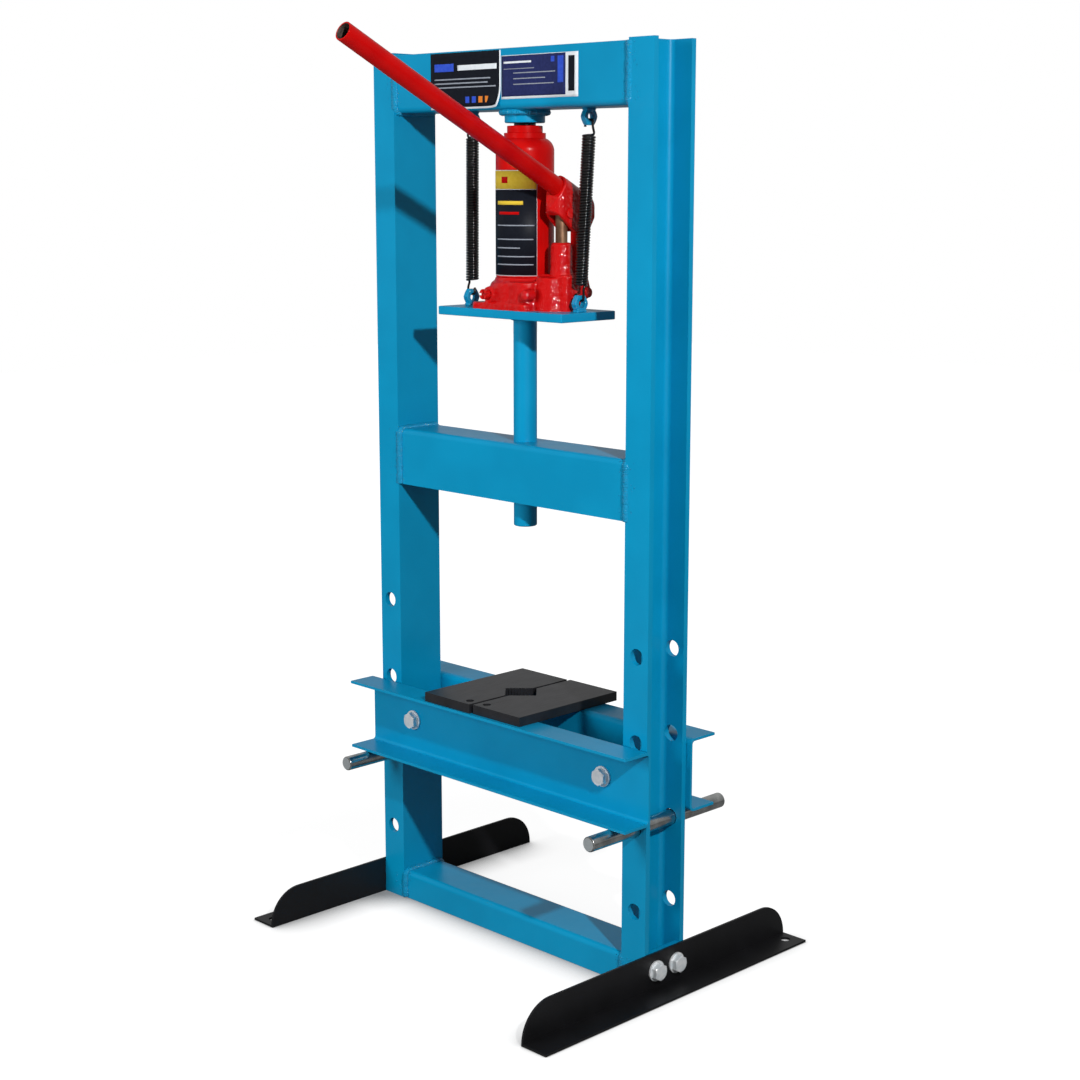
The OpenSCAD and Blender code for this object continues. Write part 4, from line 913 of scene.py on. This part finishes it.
def wrap(name, low, high, first, last, finish, lift):
    """A film round the tank between two heights, in millimetres over the plate, and two
    angles, in degrees from +X."""
    mesh = bmesh.new()
    radius = TANK_RADIUS + TANK_FILM_GAP + lift
    start = Matrix.Rotation(math.radians(first), 3, "Z") @ Vector((radius, 0, 0))
    foot = mesh.verts.new((start.x, start.y, PLATE_TOP + low / 1000))
    head = mesh.verts.new((start.x, start.y, PLATE_TOP + high / 1000))
    edge = mesh.edges.new((foot, head))
    bmesh.ops.spin(mesh, geom=[foot, head, edge], cent=(0, 0, 0), axis=(0, 0, 1),
                   angle=math.radians(last - first), steps=48)
    bmesh.ops.recalc_face_normals(mesh, faces=mesh.faces)
    first_face = mesh.faces[:][0]
    if first_face.normal.dot(first_face.calc_center_median() * Vector((1, 1, 0))) < 0:
        bmesh.ops.reverse_faces(mesh, faces=mesh.faces)
    thicken(new_piece(mesh, name, finish, "ram_carriage"))


def tank_label():
    """The label round the tank: a yellow band over a dark field in a white border."""
    wrap("tank_label_border", 34.8, 142.7, -160, -20, FILM_WHITE, 0.0)
    wrap("tank_label_band", 123.5, 142, -159, -21.2, FILM_YELLOW, FIELD_LIFT)
    wrap("tank_label_field", 35.6, 122.8, -159, -21.2, FILM_DARK, FIELD_LIFT)
    tank_print = {
        "title": (107.5, 111.5, -110, -48, FILM_YELLOW),
        "red_rule": (97.5, 100.5, -104, -56, RED),
        "rule_a": (86, 87.2, -112, -26, FILM_GREY),
        "rule_b": (71.8, 73, -112, -28, FILM_GREY),
        "rule_c": (63, 64.2, -112, -54, FILM_GREY),
        "rule_d": (54.2, 55.4, -112, -26, FILM_GREY),
        "rule_e": (46, 47.2, -112, -28, FILM_GREY),
        "band_mark": (129.5, 136, -96, -80, RED),
    }
    for name, (low, high, first, last, finish) in tank_print.items():
        wrap("tank_label_" + name, low, high, first, last, finish, PRINT_LIFT)


def sawn_ends(piece):
    """Gives the two flat ends of a bed pin their sawn finish."""
    piece.data.materials.append(SAWN)
    for face in piece.data.polygons:
        if abs(face.normal.y) > 0.9:
            face.material_index = 1


def bare_inside(piece):
    """Gives the bore of the handle its bare steel."""
    piece.data.materials.append(SCALE)
    low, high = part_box("handle")
    middle = (low + high) / 2
    axis = Vector((0, -math.cos(HANDLE_SLOPE), math.sin(HANDLE_SLOPE)))
    for face in piece.data.polygons:
        spoke = face.center - middle
        spoke -= axis * spoke.dot(axis)
        if face.normal.dot(spoke) < 0 and abs(face.normal.dot(axis)) < 0.5:
            face.material_index = 1


def press():
    """Every piece of the press. The tank, its pressure cylinder and its ram keep their CAD
    meshes."""
    for node, (finish, edge) in NODES.items():
        piece = worked(node, finish, edge)
        if node.startswith("bed_pin"):
            sawn_ends(piece)
        if node == "handle":
            bare_inside(piece)
    cast("jack_base", 1.0, 30, base_pattern, foot=PLATE_TOP, bore=PUMP_BORE)
    cast("pump_cylinder", 0.7, 14, pump_pattern)
    cast("handle_socket", 0.7, 18)
    for node, finish in (("jack_tank", RED), ("jack_cylinder", STEEL_WITH_PAINTED_RED_REFLECTION),
                         ("jack_ram", STEEL_WITH_PAINTED_RED_REFLECTION)):
        data = frame["nodes"][node].data
        data.materials.clear()
        data.materials.append(finish)
    return_spring("return_spring_left", -LOWER_NUTS[0], -UPPER_NUTS[0], True)
    return_spring("return_spring_right", LOWER_NUTS[1], UPPER_NUTS[1], False)
    weld_beams()
    weld_small_parts()
    beam_labels()
    tank_label()


def white_floor():
    """White paper glowing to the eye, with painted shade close under the press, fading into the sky."""
    mesh = bmesh.new()
    bmesh.ops.create_grid(mesh, x_segments=1, y_segments=1, size=6.0)
    data = bpy.data.meshes.new("floor")
    mesh.to_mesh(data)
    mesh.free()
    ground = bpy.data.objects.new("floor", data)
    bpy.context.collection.objects.link(ground)
    paper = bpy.data.materials.new("white_paper_sweep")
    paper.use_nodes = True
    tree = paper.node_tree
    sheet = tree.nodes["Principled BSDF"]
    sheet.inputs["Base Color"].default_value = linear("#8A8A8A")
    sheet.inputs["Roughness"].default_value = 0.9
    path = add(tree, "ShaderNodeLightPath")
    # Painted shade: ambient occlusion dims the floor's glow to the eye close under the press.
    near = add(tree, "ShaderNodeAmbientOcclusion", {"Distance": 0.055}, samples=12)
    painted_contact_shade = add(tree, "ShaderNodeMapRange",
                {"From Min": 0.42, "From Max": 0.97, "To Min": 0.1, "To Max": 0.9},
                {"Value": near.outputs["AO"]})
    away = add(tree, "ShaderNodeVectorMath", None,
               {0: add(tree, "ShaderNodeTexCoord").outputs["Object"]}, operation="LENGTH")
    fade = add(tree, "ShaderNodeMapRange",
               {"From Min": 0.45, "From Max": 0.95, "To Min": 0.0, "To Max": 0.12},
               {"Value": away.outputs["Value"]})
    total = add(tree, "ShaderNodeMath", None, {0: painted_contact_shade.outputs["Result"],
                                               1: fade.outputs["Result"]}, operation="ADD")
    share = add(tree, "ShaderNodeMath", None, {0: path.outputs["Is Camera Ray"],
                                               1: total.outputs[0]}, operation="MULTIPLY")
    glow = add(tree, "ShaderNodeEmission", None, {"Strength": share.outputs[0]})
    both = add(tree, "ShaderNodeAddShader", None, {0: sheet.outputs[0], 1: glow.outputs[0]})
    tree.links.new(both.outputs[0], tree.nodes["Material Output"].inputs["Surface"])
    data.materials.append(paper)


def white_sky():
    """A white sky to the eye, a dim one that lights the paint, and in what gloss shows, a
    backdrop that is lighter behind the press than in front."""
    sky = bpy.data.worlds.new("white_room")
    bpy.context.scene.world = sky
    sky.use_nodes = True
    tree = sky.node_tree
    lit = tree.nodes["Background"]
    lit.inputs["Strength"].default_value = 0.17
    turn = add(tree, "ShaderNodeVectorMath", {1: (-0.7, 0.7, 0.15)},
               {0: add(tree, "ShaderNodeTexCoord").outputs["Generated"]},
               operation="DOT_PRODUCT")
    bright = add(tree, "ShaderNodeMapRange",
                 {"From Min": -0.3, "From Max": 0.6, "To Min": 0.2, "To Max": 0.42},
                 {"Value": turn.outputs["Value"]})
    mirrored = add(tree, "ShaderNodeBackground", None, {"Strength": bright.outputs["Result"]})
    white = add(tree, "ShaderNodeBackground", {"Strength": 1.0})
    path = add(tree, "ShaderNodeLightPath")
    for light in (lit, mirrored, white):
        light.inputs["Color"].default_value = linear("#FFFFFF")
    seen = add(tree, "ShaderNodeMath", None, {0: path.outputs["Is Camera Ray"],
                                              1: path.outputs["Is Transmission Ray"]},
               operation="MAXIMUM")
    gloss = add(tree, "ShaderNodeMixShader", None,
                {0: path.outputs["Is Glossy Ray"], 1: lit.outputs[0], 2: mirrored.outputs[0]})
    mix = add(tree, "ShaderNodeMixShader", None,
              {0: seen.outputs[0], 1: gloss.outputs[0], 2: white.outputs[0]})
    tree.links.new(mix.outputs[0], tree.nodes["World Output"].inputs["Surface"])


def lamps():
    """A small hard lamp on the right, and a wide soft one in front that gloss doesn't
    mirror."""
    for name, place, aim, power, size, in_gloss in (
        ("right_lamp", (1.58, -0.74, 1.35), (-0.05, 0, 0.55), 27.0, 0.06, True),
        ("front_lamp", (-0.45, -1.95, 0.88), (0, 0, 0.36), 23.0, 0.8, False),
    ):
        lamp = bpy.data.lights.new(name, "AREA")
        lamp.energy = power
        lamp.size = size
        holder = bpy.data.objects.new(name, lamp)
        holder.location = place
        holder.rotation_euler = (Vector(aim) - Vector(place)).to_track_quat("-Z", "Y").to_euler()
        holder.visible_glossy = in_gloss
        bpy.context.collection.objects.link(holder)


def camera():
    """The camera of the photo: front right, just under the height of the head."""
    eye = bpy.data.cameras.new("photo_camera")
    eye.lens = 64.4
    eye.sensor_width = 36.0
    eye.clip_end = 50.0
    holder = bpy.data.objects.new("photo_camera", eye)
    holder.location = (1.4636, -1.4254, 0.8297)
    holder.rotation_euler = (math.radians(79.33), 0, math.radians(45.32))
    bpy.context.collection.objects.link(holder)
    bpy.context.scene.camera = holder
    bpy.context.scene.view_settings.view_transform = "Standard"


press()
white_floor()
white_sky()
lamps()
camera()
bpy.context.view_layer.update()
